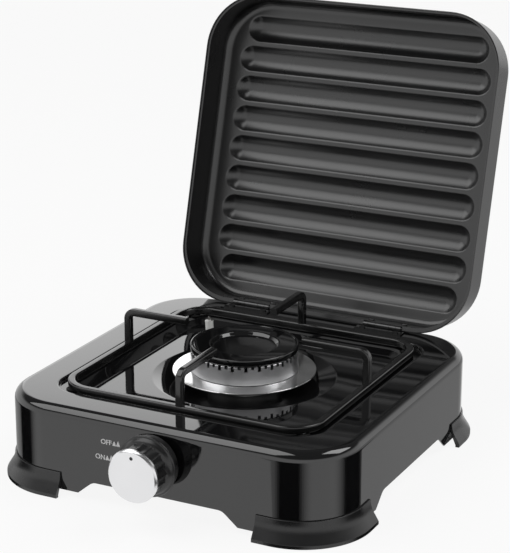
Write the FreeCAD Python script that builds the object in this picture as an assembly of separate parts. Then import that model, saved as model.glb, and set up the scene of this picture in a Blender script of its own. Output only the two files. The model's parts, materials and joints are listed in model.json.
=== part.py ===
"""Low single-burner tabletop gas stove with a hinged, ribbed tray lid.

Millimetres, +Z up, the knob faces -Y. Every piece is made about the burner's axis
with the table at Z = 0 and then set back along Y, so that the origin lies on the
table under the middle of the stove's whole depth with the lid open.
"""
import FreeCAD, Part
import math
import os

Vector = FreeCAD.Vector

# Casing: one pressed steel sheet, deck and skirt together
body_width = 290.0
body_depth = 286.0
corner_radius = 48.0
deck_height = 71.0
rim_fillet = 7.0
casing_sheet = 1.0
skirt_bottom = 5.0

# Cut-outs along the skirt's lower edge, one on each side
arch_height = 15.8
arch_half_width = 55.0
arch_run = 13.0
arch_top_radius = 9.0

# Recess in the deck: a ledge for the pan support, a sloping wall, a flat floor
ledge_depth = 3.0
ledge_margin_x = 5.0
ledge_margin_y = 2.5
ledge_corner_radius = 23.0
recess_depth = 7.5
recess_wall_run = 11.0
dish_radius = 72.5
dish_depth = 6.0
dish_floor_radius = 37.0
burner_hole_radius = 31.0

# Pan support: a square bar bent to a frame, with four welded fingers
bar_size = 6.0
bar_ease = 1.3
frame_margin_x = 36.0
frame_margin_y = 35.0
frame_corner_radius = 27.0
finger_rise = 28.6
finger_bend_radius = 9.0
finger_tip_radius = 51.5
peg_radius = 2.0
peg_length = 3.0

# Rubber seats that hold the pan support's pegs in the ledge
grommet_radius = 5.0
grommet_stem_radius = 3.6
grommet_flange = 0.7
grommet_stem = 2.2

# Burner: bowl with a broad polished flange, toothed head, enamelled cap
flange_width = 14.9
flange_edge = 1.3
flange_set = 0.7
flange_rise = 0.7
bowl_radius = 27.0
bowl_wall = 2.2
bowl_floor_drop = 2.0
head_radius = 42.3
head_foot_flare = 0.9
head_height = 15.0
head_wall = 4.0
head_spigot = 1.8
head_spigot_wall = 2.4
head_foot_height = 7.0
head_waist_radius = 9.0
head_edge = 0.3
port_pairs = 25
port_width = 2.4
long_port_depth = 3.9
short_port_depth = 2.1
cap_overhang = 0.7
cap_edge_height = 5.6
cap_lip_width = 1.8
cap_lip_height = 0.8
cap_well_radius = 27.0
cap_well_depth = 3.0
cap_floor = 2.3
cap_spigot = 1.7

# Gas way on the axis of the knob
bell_clearance = 5.0
mixing_tube_radius = 9.0
mixing_tube_wall = 1.5
mixing_tube_seat = 15.0
bell_radius = 12.5
bell_length = 8.0
shutter_share = 0.5
shutter_sheet = 0.9
window_width = 9.0
window_height = 7.0
boss_wall = 2.2
boss_length = 17.0
injector_hex = 9.0
injector_length = 8.0
injector_tip_radius = 2.4
injector_tip_length = 3.5
injector_bore = 0.6
injector_gap = 1.5
valve_radius = 11.0
valve_length = 33.0
valve_front_gap = 5.0
valve_nose_radius = 6.5
valve_nose_length = 8.0
valve_port_radius = 6.5
valve_port_reach = 19.0
valve_way_radius = 1.5
plug_radius = 6.0
plug_length = 18.0
plug_start = 9.0
spindle_radius = 3.0
spindle_engagement = 12.0
spindle_tip_depth = 6.0
spindle_flat_length = 16.0
push_travel = 3.0
running_clearance = 0.05

# Bracket that screws the valve to the front of the casing
valve_bracket_width = 46.0
valve_bracket_height = 30.0
valve_bracket_sheet = 1.5
valve_screw_spacing = 28.0
valve_screw_radius = 1.9
bracket_lug_length = 16.0

# Spark unit beside the valve and its electrode beside the burner
piezo_width = 12.0
piezo_height = 15.0
piezo_length = 27.0
electrode_radius = 3.4
electrode_below_cap = 1.5
electrode_length = 45.0
electrode_reach = 60.6
electrode_bearing = 144.0
electrode_lean = 8.0
electrode_collar = 1.6
electrode_collar_height = 3.0
electrode_wire_radius = 0.8
electrode_wire_rise = 2.2
electrode_wire_reach = 6.0
electrode_wire_drop = 0.6

# Knob: hollow skirt, fluted grip and a bright face
knob_stand_off = 4.6
knob_skirt_radius = 24.0
knob_skirt_length = 8.6
knob_edge_radius = 2.6
knob_grip_radius = 19.2
knob_grip_length = 18.0
knob_flutes = 16
flute_radius = 1.5
knob_face_radius = 21.0
knob_face_thickness = 3.8
knob_face_bevel = 1.2
knob_wall = 2.4
knob_hub_radius = 6.0
knob_dot_radius = 1.4
knob_dot_offset = 14.5
valve_hole_radius = 8.0

# Gas pipe and the hose inlet at the back
pipe_radius = 3.0
pipe_wall = 0.8
pipe_bend = 22.0
inlet_corner_gap = 11.0
nut_size = 12.0
nut_length = 9.0
inlet_body_radius = 6.0
inlet_inside = 14.0
inlet_outside = 4.0
inlet_flange_size = 15.0
inlet_flange_length = 3.0
locknut_size = 16.0
locknut_length = 4.5
hose_tail_radius = 4.75
hose_tail_length = 26.0
hose_tail_bore = 2.6
hose_groove_depth = 0.5
hose_groove_width = 1.6
hose_groove_count = 3
hose_groove_pitch = 3.6
inlet_hole_clearance = 0.15

# Cross rail under the deck that carries the burner bowl
rail_width = 34.0
rail_depth = 10.0
rail_sheet = 1.2
rail_tab_height = 12.0
rail_screw_spacing = 22.0
rail_screw_radius = 1.9

# Feet: moulded corners that flare out under the casing
foot_height = 19.0
foot_flare = 8.0
foot_sweep_radius = 16.0
foot_skin = 1.2
foot_sole = 3.4
foot_sole_height = 1.6
foot_arm = 14.0
foot_web = 2.2
foot_web_angle = 52.0
foot_web_reach = 12.0
foot_screw_inset = 7.0
foot_screw_radius = 1.9
foot_screw_length = 9.0

# Lid: a deep tray with nine pressed channels
lid_margin = 12.0
lid_corner_step = 2.0
lid_inside_height = 34.0
lid_sheet = 0.8
lid_fillet = 7.0
lid_hem = 1.6
lid_hem_height = 2.6
lid_open_angle = 105.5
channel_count = 9
channel_side_margin = 12.2
channel_land = 4.2
channel_depth = 5.2
channel_end_margin = 16.0
outer_channel_step = 5.0

# Hinges on the back edge of the deck
hinge_corner_gap = 4.5
leaf_length = 42.0
leaf_width = 11.0
leaf_sheet = 1.0
knuckle_radius = 1.9
pin_radius = 1.2
pin_length = 35.0
lid_knuckle_offset = 9.5
lid_knuckle_length = 6.0
end_knuckle_length = 4.0
lid_leaf_height = 12.0
lid_notch_height = 6.5
lid_notch_margin = 2.0
rivet_radius = 1.6
rivet_head_radius = 2.6
rivet_head_height = 0.9
rivet_spacing = 30.0

# Clearances
gap = 0.3
slip = 0.15

# Places that follow from the sizes above
deck_top = deck_height
front_face = -body_depth / 2
back_face = body_depth / 2
frame_width = body_width - 2 * frame_margin_x
frame_depth = body_depth - 2 * frame_margin_y
ledge_top = deck_top - ledge_depth
recess_floor = deck_top - recess_depth
dish_floor = recess_floor - dish_depth
gas_axis_height = recess_floor - casing_sheet - bell_clearance - bell_radius
bowl_bottom = gas_axis_height - mixing_tube_radius - bowl_floor_drop
flange_top = deck_top - flange_set
flange_radius = head_radius + flange_width
head_foot_radius = head_radius + head_foot_flare
cap_radius = head_radius + cap_overhang
frame_bottom = ledge_top + grommet_flange + gap
frame_top = frame_bottom + bar_size
finger_top = frame_top + finger_rise
head_bottom = flange_top + gap
head_top = head_bottom + head_height
cap_bottom = head_top + gap
cap_top = cap_bottom + cap_edge_height
electrode_top = cap_top - electrode_below_cap
corner_x = body_width / 2 - corner_radius
corner_y = body_depth / 2 - corner_radius
frame_centre_radius = frame_corner_radius - bar_size / 2
peg_x = frame_width / 2 - frame_corner_radius + frame_centre_radius * math.sqrt(0.5)
peg_y = frame_depth / 2 - frame_corner_radius + frame_centre_radius * math.sqrt(0.5)
inlet_x = -(corner_x - inlet_corner_gap)
lid_width = body_width - 2 * lid_margin
lid_depth = body_depth - 2 * lid_margin
lid_corner_radius = corner_radius - lid_corner_step
lid_rim = deck_top + gap
lid_back = lid_depth / 2
hinge_offset = lid_width / 2 - lid_corner_radius - leaf_length / 2 - hinge_corner_gap
channel_pitch = (lid_depth - 2 * channel_side_margin) / channel_count
channel_width = channel_pitch - channel_land
channel_reach = lid_width / 2 - channel_end_margin
outer_channel_reach = channel_reach - outer_channel_step
pivot_y = lid_back + knuckle_radius - 0.2
pivot_z = deck_top + slip + knuckle_radius
lid_top = lid_rim + lid_inside_height + lid_sheet
valve_front = front_face + valve_front_gap
valve_back = valve_front + valve_length
nose_end = valve_back + valve_nose_length
mixing_tube_start = nose_end + injector_length + injector_tip_length + injector_gap
boss_radius = mixing_tube_radius + boss_wall
boss_end = -(bowl_radius + boss_length)
shutter_length = shutter_share * (boss_end - mixing_tube_start - bell_length)
screw_radius_from_corner = corner_radius - foot_screw_inset


def back_of_open_lid():
    """Y of the open lid's rearmost line, the fillet round its outer face."""
    angle = math.radians(-lid_open_angle)
    arm_y = -lid_back + lid_fillet - pivot_y
    arm_z = lid_top - lid_fillet - pivot_z
    return pivot_y + arm_y * math.cos(angle) - arm_z * math.sin(angle) + lid_fillet


knob_front = knob_stand_off + knob_skirt_length + knob_grip_length + knob_face_thickness
origin_y = (back_of_open_lid() + front_face - knob_front) / 2


def rounded_rect(width, depth, radius, z):
    """Closed wire of a rounded rectangle, centred on the Z axis."""
    x = width / 2 - radius
    y = depth / 2 - radius
    turn = radius * math.sqrt(0.5)
    edges = []
    corners = [(x, y, 1, 1), (-x, y, -1, 1), (-x, -y, -1, -1), (x, -y, 1, -1)]
    ends = []
    for cx, cy, sx, sy in corners:
        on_x = Vector(cx + sx * radius, cy, z)
        on_y = Vector(cx, cy + sy * radius, z)
        middle = Vector(cx + sx * turn, cy + sy * turn, z)
        first, last = (on_x, on_y) if sx * sy > 0 else (on_y, on_x)
        ends.append((first, middle, last))
    for index, (first, middle, last) in enumerate(ends):
        edges.append(Part.Arc(first, middle, last).toShape())
        following = ends[(index + 1) % 4][0]
        edges.append(Part.makeLine(last, following))
    return Part.Wire(edges)


def rounded_block(width, depth, radius, bottom, top):
    face = Part.Face(rounded_rect(width, depth, radius, bottom))
    return face.extrude(Vector(0, 0, top - bottom))


def round_rim(block, z, radius):
    """Fillet all the edges of a block that lie at the height z."""
    rim = [e for e in block.Edges if abs(e.BoundBox.ZMin - z) < 1e-6 and abs(e.BoundBox.ZMax - z) < 1e-6]
    return block.makeFillet(radius, rim)


def rounded_profile(points, place):
    """Closed wire through (a, b, corner radius) points; place(a, b) gives the 3-D point."""
    count = len(points)
    cuts = []
    for index, (a, b, radius) in enumerate(points):
        before = points[index - 1]
        after = points[(index + 1) % count]
        in_a, in_b = before[0] - a, before[1] - b
        out_a, out_b = after[0] - a, after[1] - b
        in_length = math.hypot(in_a, in_b)
        out_length = math.hypot(out_a, out_b)
        in_a, in_b = in_a / in_length, in_b / in_length
        out_a, out_b = out_a / out_length, out_b / out_length
        if radius <= 0:
            cuts.append((place(a, b), None, place(a, b)))
            continue
        half = math.acos(max(-1.0, min(1.0, in_a * out_a + in_b * out_b))) / 2
        run = radius / math.tan(half)
        mid_a, mid_b = in_a + out_a, in_b + out_b
        mid_length = math.hypot(mid_a, mid_b)
        reach = radius / math.sin(half) - radius
        first = place(a + in_a * run, b + in_b * run)
        middle = place(a + mid_a / mid_length * reach, b + mid_b / mid_length * reach)
        last = place(a + out_a * run, b + out_b * run)
        cuts.append((first, middle, last))
    edges = []
    for index, (first, middle, last) in enumerate(cuts):
        if middle is not None:
            edges.append(Part.Arc(first, middle, last).toShape())
        following = cuts[(index + 1) % count][0]
        if last.distanceToPoint(following) > 1e-6:
            edges.append(Part.makeLine(last, following))
    return Part.Wire(edges)


def lathe(points):
    """Solid turned about the Z axis from (radius, height, corner radius) points."""
    wire = rounded_profile(points, lambda r, z: Vector(r, 0, z))
    return Part.Face(wire).revolve(Vector(0, 0, 0), Vector(0, 0, 1), 360)


def lathe_y(points, x, z):
    """Solid turned about a line along Y through (x, z), from (radius, y, corner radius) points."""
    wire = rounded_profile(points, lambda r, y: Vector(x + r, y, z))
    return Part.Face(wire).revolve(Vector(x, 0, z), Vector(0, 1, 0), 360)


def rod_y(radius, start, end, x=0.0, z=gas_axis_height):
    return Part.makeCylinder(radius, end - start, Vector(x, start, z), Vector(0, 1, 0))


def rod_z(radius, bottom, top, x=0.0, y=0.0):
    return Part.makeCylinder(radius, top - bottom, Vector(x, y, bottom))


def hex_y(across_flats, start, end, x, z):
    """Hexagonal bar along Y."""
    corner = across_flats / math.sqrt(3)
    points = []
    for index in range(6):
        turn = math.radians(60 * index)
        points.append(Vector(x + corner * math.cos(turn), start, z + corner * math.sin(turn)))
    face = Part.Face(Part.makePolygon(points + points[:1]))
    return face.extrude(Vector(0, end - start, 0))


def box(x0, y0, z0, x1, y1, z1):
    return Part.makeBox(x1 - x0, y1 - y0, z1 - z0, Vector(x0, y0, z0))


def turned_about_z(shape, degrees):
    copy = shape.copy()
    copy.rotate(Vector(0, 0, 0), Vector(0, 0, 1), degrees)
    return copy


def mirrored_x(shape):
    return shape.mirror(Vector(0, 0, 0), Vector(1, 0, 0))


def mirrored_y(shape):
    return shape.mirror(Vector(0, 0, 0), Vector(0, 1, 0))


def opened(shape):
    """Swing a piece of the closed lid back to its open stop."""
    copy = shape.copy()
    copy.rotate(Vector(0, pivot_y, pivot_z), Vector(1, 0, 0), -lid_open_angle)
    return copy


def dish_height(radius):
    """Height of the deck's upper face in the dish round the burner."""
    share = (dish_radius - radius) / (dish_radius - dish_floor_radius)
    return recess_floor - dish_depth * share


def deck_void(grow):
    """Space above the pressed deck; grow = sheet thickness gives the sheet's lower face."""
    above = deck_top + 1.0
    ledge_w = frame_width + 2 * ledge_margin_x + 2 * grow
    ledge_d = frame_depth + 2 * ledge_margin_y + 2 * grow
    ledge = rounded_block(ledge_w, ledge_d, ledge_corner_radius + grow, ledge_top - grow, above)
    inner_radius = frame_corner_radius - bar_size
    wall_w = frame_width - 2 * bar_size + 2 * grow
    wall_d = frame_depth - 2 * bar_size + 2 * grow
    upper = rounded_rect(wall_w, wall_d, inner_radius + grow, ledge_top - grow)
    lower = rounded_rect(wall_w - 2 * recess_wall_run, wall_d - 2 * recess_wall_run,
                         inner_radius + grow - recess_wall_run, recess_floor - grow)
    well = Part.makeLoft([upper, lower], True, True)
    slope = dish_depth / (dish_radius - dish_floor_radius)
    shift = grow * (math.sqrt(1 + slope * slope) - 1) / slope
    dish = lathe([(0, recess_floor - grow + 1.0, 0), (0, dish_floor - grow, 0),
                  (dish_floor_radius - shift, dish_floor - grow, 0),
                  (dish_radius - shift, recess_floor - grow, 0),
                  (dish_radius - shift, recess_floor - grow + 0.2, 0),
                  (burner_hole_radius, recess_floor - grow + 1.0, 0)])
    return ledge.fuse(well).fuse(dish)


def arch_cutter(wall_distance, along_y):
    """Prism that cuts the arched gap into two opposite skirt walls."""
    low = skirt_bottom - 1.0
    steep = arch_run / (arch_height - skirt_bottom)
    wide = arch_half_width + steep * (arch_height - low)
    points = [(-wide, low, 0), (-arch_half_width, arch_height, arch_top_radius),
              (arch_half_width, arch_height, arch_top_radius), (wide, low, 0)]
    reach = wall_distance + 2.0
    if along_y:
        wire = rounded_profile(points, lambda a, b: Vector(a, -reach, b))
        return Part.Face(wire).extrude(Vector(0, 2 * reach, 0))
    wire = rounded_profile(points, lambda a, b: Vector(-reach, a, b))
    return Part.Face(wire).extrude(Vector(2 * reach, 0, 0))


def at_corners(make):
    """Make a piece at the front-left corner and repeat it at the other three."""
    first = make()
    right = mirrored_x(first)
    return {"front_left": first, "front_right": right,
            "rear_left": mirrored_y(first), "rear_right": mirrored_y(right)}


def corner_sector(radius_out, radius_in, bottom, top, angle):
    """Flat sector round the front-left corner's axis, centred on its diagonal."""
    centre = Vector(-corner_x, -corner_y, bottom)
    outer = Part.makeCylinder(radius_out, top - bottom, centre, Vector(0, 0, 1), angle)
    inner = Part.makeCylinder(radius_in, top - bottom, centre, Vector(0, 0, 1), angle)
    sector = outer.cut(inner)
    sector.rotate(centre, Vector(0, 0, 1), 225 - angle / 2)
    return sector


def corner_point(radius):
    share = radius * math.sqrt(0.5)
    return -corner_x - share, -corner_y - share


def casing():
    outer = rounded_block(body_width, body_depth, corner_radius, skirt_bottom, deck_top)
    outer = round_rim(outer, deck_top, rim_fillet).cut(deck_void(0.0))
    inset = 2 * casing_sheet
    inner_top = deck_top - casing_sheet
    inner = rounded_block(body_width - inset, body_depth - inset, corner_radius - casing_sheet,
                          skirt_bottom - 1.0, inner_top)
    inner = round_rim(inner, inner_top, rim_fillet - casing_sheet).cut(deck_void(casing_sheet))
    shell = outer.cut(inner)
    for tab in at_corners(corner_tab).values():
        shell = shell.fuse(tab)
    shell = shell.cut(arch_cutter(body_depth / 2, True))
    shell = shell.cut(arch_cutter(body_width / 2, False))
    holes = [rod_z(burner_hole_radius, dish_floor - 5, recess_floor)]
    holes.append(rod_y(valve_hole_radius, front_face - 2, front_face + 4))
    holes += [rod_y(valve_screw_radius + slip, front_face - 2, front_face + 4, x)
              for x in (-valve_screw_spacing / 2, valve_screw_spacing / 2)]
    holes.append(rod_y(inlet_body_radius + inlet_hole_clearance, back_face - 4, back_face + 2, inlet_x))
    holes.append(electrode_rod(electrode_radius + 2 * gap, -3 * dish_depth, 3 * dish_depth))
    for sx in (-1, 1):
        for sy in (-1, 1):
            holes.append(rod_z(grommet_stem_radius + slip, ledge_top - 3, ledge_top + 1, sx * peg_x, sy * peg_y))
            x, y = corner_point(screw_radius_from_corner)
            holes.append(rod_z(foot_screw_radius + slip, skirt_bottom - 1, skirt_bottom + 3, sx * x, sy * y))
        for rivet in deck_rivet_places():
            holes.append(rod_z(rivet_radius + slip, deck_top - 3, deck_top + 1, sx * rivet[0], rivet[1]))
    return shell.cut(Part.makeCompound(holes))


def corner_tab():
    """Inward tab at the skirt's corner that takes a foot's screw."""
    return corner_sector(corner_radius - casing_sheet / 2, corner_radius - foot_web_reach,
                         skirt_bottom, skirt_bottom + casing_sheet, foot_web_angle)


def foot_section(place):
    """Section of the foot: a thin flared wall on a flat sole."""
    outer_u = foot_flare
    points = [(gap / 2, foot_height, 0), (foot_skin, foot_height, 0.4),
              (foot_skin + 0.5, foot_height * 0.68, foot_sweep_radius),
              (outer_u, foot_sole_height + 1.2, 1.0), (outer_u, 0, 0.5),
              (outer_u - foot_sole, 0, 0), (outer_u - foot_sole, foot_sole_height, 0.8),
              (gap / 2, foot_height * 0.62, 6.0)]
    return Part.Face(rounded_profile(points, place))


def foot():
    centre = Vector(-corner_x, -corner_y, 0)
    section = foot_section(lambda u, z: Vector(-corner_x - corner_radius - u, -corner_y, z))
    bend = section.revolve(centre, Vector(0, 0, 1), 90)
    arm_back = section.extrude(Vector(0, foot_arm, 0))
    section = foot_section(lambda u, z: Vector(-corner_x, -corner_y - corner_radius - u, z))
    arm_side = section.extrude(Vector(foot_arm, 0, 0))
    web_top = skirt_bottom - slip
    web = corner_sector(corner_radius + foot_flare - foot_sole + 1.0, corner_radius - foot_web_reach,
                        web_top - foot_web, web_top, foot_web_angle)
    shape = bend.fuse(arm_back).fuse(arm_side).fuse(web).removeSplitter()
    x, y = corner_point(screw_radius_from_corner)
    return shape.cut(rod_z(foot_screw_radius + slip, -1, foot_height, x, y))


def foot_screw():
    x, y = corner_point(screw_radius_from_corner)
    seat = skirt_bottom - slip - foot_web
    head = rod_z(2 * foot_screw_radius, seat - 1.5, seat, x, y)
    shank = rod_z(foot_screw_radius, seat, seat + foot_screw_length, x, y)
    return head.fuse(shank).removeSplitter()


def bar_face(place):
    """Eased square section of the pan support's bar."""
    half = bar_size / 2
    corners = [(-half, -half, bar_ease), (half, -half, bar_ease), (half, half, bar_ease), (-half, half, bar_ease)]
    return Part.Wire(rounded_profile(corners, place).Edges)


def swept(path, section):
    return Part.Wire(path).makePipeShell([section], True, True)


def pan_frame():
    middle_z = frame_bottom + bar_size / 2
    path = rounded_rect(frame_width - bar_size, frame_depth - bar_size, frame_centre_radius, middle_z)
    side_x = frame_width / 2 - bar_size / 2
    start_y = frame_depth / 2 - frame_corner_radius
    section = bar_face(lambda a, b: Vector(side_x + a, start_y, middle_z + b))
    frame = swept(path.Edges, section)
    for sx in (-1, 1):
        for sy in (-1, 1):
            peg = rod_z(peg_radius, frame_bottom - peg_length, middle_z, sx * peg_x, sy * peg_y)
            frame = frame.fuse(peg)
    return frame.removeSplitter()


def finger():
    """Front finger: up from the frame, round a bend and in over the burner."""
    y = -(frame_depth / 2 - bar_size / 2)
    bend = finger_bend_radius - bar_size / 2
    centre_z = finger_top - bar_size / 2
    low = Vector(0, y, frame_top)
    turn_start = Vector(0, y, centre_z - bend)
    share = bend * (1 - math.sqrt(0.5))
    middle = Vector(0, y + share, centre_z - share)
    turn_end = Vector(0, y + bend, centre_z)
    tip = Vector(0, -finger_tip_radius, centre_z)
    path = [Part.makeLine(low, turn_start), Part.Arc(turn_start, middle, turn_end).toShape(),
            Part.makeLine(turn_end, tip)]
    section = bar_face(lambda a, b: Vector(a, y + b, frame_top))
    return swept(path, section)


def side_finger():
    """The side fingers start a little further out, as the frame is wider than deep."""
    shape = turned_about_z(finger(), 90)
    shape.translate(Vector((frame_width - frame_depth) / 2, 0, 0))
    return shape


def grommet(sx, sy):
    x, y = sx * peg_x, sy * peg_y
    flange = rod_z(grommet_radius, ledge_top, ledge_top + grommet_flange, x, y)
    stem = rod_z(grommet_stem_radius, ledge_top - grommet_stem, ledge_top, x, y)
    bore = rod_z(peg_radius + gap, ledge_top - grommet_stem - 1, ledge_top + grommet_flange + 1, x, y)
    return flange.fuse(stem).cut(bore).removeSplitter()


def burner_bowl():
    seat = head_radius - head_wall - gap
    neck_top = flange_top - 4.2
    body = lathe([(0, bowl_bottom, 0), (bowl_radius - 3, bowl_bottom, 3),
                  (bowl_radius, bowl_bottom + 6, 4), (bowl_radius + 0.8, neck_top, 1.5),
                  (flange_radius - 3, neck_top + 1.4, 2.0),
                  (flange_radius, flange_top - flange_rise - flange_edge, 0.4),
                  (flange_radius, flange_top - flange_rise, 0.5),
                  (head_foot_radius + 0.3, flange_top, 1.0), (seat, flange_top, 0.3),
                  (seat, flange_top - head_spigot - 2 * gap, 0),
                  (bowl_radius - bowl_wall, neck_top - 0.6, 2.0),
                  (bowl_radius - bowl_wall, bowl_bottom + bowl_wall + 4, 3.0),
                  (bowl_radius - bowl_wall - 5, bowl_bottom + bowl_wall, 2.0), (0, bowl_bottom + bowl_wall, 0)])
    boss = rod_y(boss_radius, boss_end, -bowl_radius + 5)
    cavity = rod_z(bowl_radius - bowl_wall, bowl_bottom + bowl_wall + 1, neck_top - 1)
    body = body.fuse(boss.cut(cavity))
    body = body.cut(rod_y(mixing_tube_radius + slip, boss_end - 1, boss_end + mixing_tube_seat))
    body = body.cut(rod_y(mixing_tube_radius - mixing_tube_wall, boss_end, 0))
    for x in (-rail_screw_spacing / 2, rail_screw_spacing / 2):
        pad = rod_z(4.0, bowl_bottom, bowl_bottom + 7, x)
        body = body.fuse(pad).cut(rod_z(rail_screw_radius, bowl_bottom - 1, bowl_bottom + 5, x))
    return body


def burner_head():
    """Turned ring: a spigot in the flange's bore, a waisted foot and a step that takes the cap."""
    inner = head_radius - head_wall
    spigot_out = inner - 2 * gap - slip
    spigot_in = inner - head_spigot_wall
    spigot_end = head_bottom - head_spigot
    step = head_top - long_port_depth - gap
    return lathe([(spigot_out, head_bottom, 0), (head_foot_radius, head_bottom, head_edge),
                  (head_radius, head_bottom + head_foot_height, head_waist_radius),
                  (head_radius, head_top, head_edge), (inner, head_top, head_edge), (inner, step, 0),
                  (spigot_in, step, head_edge), (spigot_in, spigot_end, head_edge),
                  (spigot_out, spigot_end, head_edge)])


def port_cutters():
    """Flame ports: long and short slots by turns round the head's rim."""
    cutters = []
    for index in range(2 * port_pairs):
        depth = long_port_depth if index % 2 == 0 else short_port_depth
        slot = box(head_radius - head_wall - 1, -port_width / 2, head_top - depth,
                   head_radius + 2, port_width / 2, head_top + 1)
        cutters.append(turned_about_z(slot, index * 180.0 / port_pairs))
    return Part.makeCompound(cutters)


def burner_cap():
    seat = head_radius - head_wall
    rim = cap_radius
    land = cap_top - cap_lip_height
    return lathe([(0, cap_bottom, 0), (seat - 3.6, cap_bottom, 0), (seat - 3.6, cap_bottom - gap - cap_spigot, 0.4),
                  (seat - gap, cap_bottom - gap - cap_spigot, 0.4), (seat - gap, cap_bottom, 0),
                  (rim - 1.6, cap_bottom, 0.6), (rim, cap_top - 1.6, 1.2), (rim - 0.4, cap_top, 0.4),
                  (rim - cap_lip_width, cap_top, 0.5), (rim - cap_lip_width - 0.9, land, 0.8),
                  (cap_well_radius + 1.2, land + 0.3, 1.0),
                  (cap_well_radius - 2.0, land + 0.3 - cap_well_depth, 1.6),
                  (0, cap_bottom + cap_floor, 0)])


def mixing_tube():
    start = mixing_tube_start
    end = boss_end + mixing_tube_seat - gap
    outer = mixing_tube_radius
    inner = mixing_tube_radius - mixing_tube_wall
    tube = lathe_y([(inner, start + bell_length, 6.0), (bell_radius - mixing_tube_wall, start, 0),
                    (bell_radius, start, 0), (outer, start + bell_length, 6.0), (outer, end, 0),
                    (inner, end, 0)], 0, gas_axis_height)
    window_y = start + bell_length + 5
    windows = [box(-window_width / 2, window_y, gas_axis_height + inner - 2,
                   window_width / 2, window_y + window_height, gas_axis_height + outer + 2)]
    windows.append(box(-window_width / 2, window_y, gas_axis_height - outer - 2,
                       window_width / 2, window_y + window_height, gas_axis_height - inner + 2))
    return tube.cut(Part.makeCompound(windows))


def air_shutter():
    start = mixing_tube_start + bell_length + 2
    inner = mixing_tube_radius + slip
    ring = rod_y(inner + shutter_sheet, start, start + shutter_length).cut(
        rod_y(inner, start - 1, start + shutter_length + 1))
    window_y = start + 3
    cut = box(-window_width / 2 - 1, window_y, gas_axis_height - 2 * inner,
              window_width / 2 + 1, window_y + window_height, gas_axis_height + 2 * inner)
    return ring.cut(cut)


def injector():
    start = nose_end
    body = hex_y(injector_hex, start, start + injector_length, 0, gas_axis_height)
    tip = rod_y(injector_tip_radius, start + injector_length, start + injector_length + injector_tip_length)
    stem = rod_y(valve_nose_radius - 3.0, start - 5, start)
    bore = rod_y(injector_bore, start - 6, start + injector_length + injector_tip_length + 1)
    return body.fuse(tip).fuse(stem).cut(bore).removeSplitter()


def gas_valve():
    body = lathe_y([(0, valve_front, 0), (valve_radius - 2.5, valve_front, 1.0),
                    (valve_radius - 2.5, valve_front + 4, 0), (valve_radius, valve_front + 4, 0.8),
                    (valve_radius, valve_back - 3, 2.0), (valve_nose_radius, valve_back, 0),
                    (valve_nose_radius, nose_end, 0.5), (0, nose_end, 0)], 0, gas_axis_height)
    port_y = (valve_front + valve_back) / 2
    port = Part.makeCylinder(valve_port_radius, valve_port_reach, Vector(0, port_y, gas_axis_height), Vector(-1, 0, 0))
    flat = box(0, valve_front + 6, gas_axis_height - 6, valve_radius + 1, valve_back - 4, gas_axis_height + 6)
    body = body.fuse(port).fuse(flat)
    plug_y = valve_front + plug_start
    chamber = rod_y(plug_radius + running_clearance, plug_y - gap, plug_y + plug_length + gap)
    neck = rod_y(spindle_radius + running_clearance, valve_front - 1, plug_y)
    way = rod_y(valve_way_radius, plug_y + plug_length, nose_end - 5)
    socket = rod_y(valve_nose_radius - 3.0 + running_clearance, nose_end - 5 - gap, nose_end + 1)
    inlet = Part.makeCylinder(valve_way_radius, valve_port_reach + 1, Vector(0, port_y, gas_axis_height), Vector(-1, 0, 0))
    pipe_socket = Part.makeCylinder(pipe_radius + slip, 6, Vector(-valve_port_reach + 5, port_y, gas_axis_height),
                                    Vector(-1, 0, 0))
    return body.cut(Part.makeCompound([neck, way, socket, inlet, pipe_socket])).cut(chamber)


def valve_plug():
    start = valve_front + plug_start
    plug = rod_y(plug_radius, start, start + plug_length)
    bore = rod_y(spindle_radius + running_clearance, start - 1, start + spindle_engagement + push_travel + 2 * gap)
    port_y = (valve_front + valve_back) / 2
    crossway = Part.makeCylinder(valve_way_radius, 4 * plug_radius, Vector(-2 * plug_radius, port_y, gas_axis_height),
                                 Vector(1, 0, 0))
    outlet = rod_y(valve_way_radius, port_y, start + plug_length + 1)
    return plug.cut(bore).cut(crossway).cut(outlet)


def valve_spindle():
    end = valve_front + plug_start + spindle_engagement
    start = front_face - knob_stand_off - knob_skirt_length - knob_grip_length + spindle_tip_depth
    flat = box(-spindle_radius, start - 1, gas_axis_height + spindle_radius * 0.55,
               spindle_radius, start + spindle_flat_length, gas_axis_height + spindle_radius + 1)
    return rod_y(spindle_radius, start, end).cut(flat)


def valve_bracket():
    """Plate behind the front wall with two lugs bent back onto the valve's sides."""
    y = front_face + casing_sheet
    half_w = valve_bracket_width / 2
    half_h = valve_bracket_height / 2
    points = [(-half_w, -half_h, 4), (half_w, -half_h, 4), (half_w, half_h, 4), (-half_w, half_h, 4)]
    wire = rounded_profile(points, lambda a, b: Vector(a, y, gas_axis_height + b))
    plate = Part.Face(wire).extrude(Vector(0, valve_bracket_sheet, 0))
    lug_z = valve_radius + slip
    for side in (-1, 1):
        low = gas_axis_height + side * lug_z
        high = gas_axis_height + side * (lug_z + valve_bracket_sheet)
        lug = box(-6, y, min(low, high), 6, y + bracket_lug_length, max(low, high))
        plate = plate.fuse(lug)
    holes = [rod_y(valve_radius - 2.5 + slip, y - 1, y + valve_bracket_sheet + 1)]
    holes += [rod_y(valve_screw_radius, y - 1, y + valve_bracket_sheet + 1, x)
              for x in (-valve_screw_spacing / 2, valve_screw_spacing / 2)]
    return plate.cut(Part.makeCompound(holes)).removeSplitter()


def valve_screw(x):
    head = rod_y(2 * valve_screw_radius, front_face - 1.6, front_face, x)
    shank = rod_y(valve_screw_radius - running_clearance, front_face, front_face + 6, x)
    return head.fuse(shank).removeSplitter()


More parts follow.
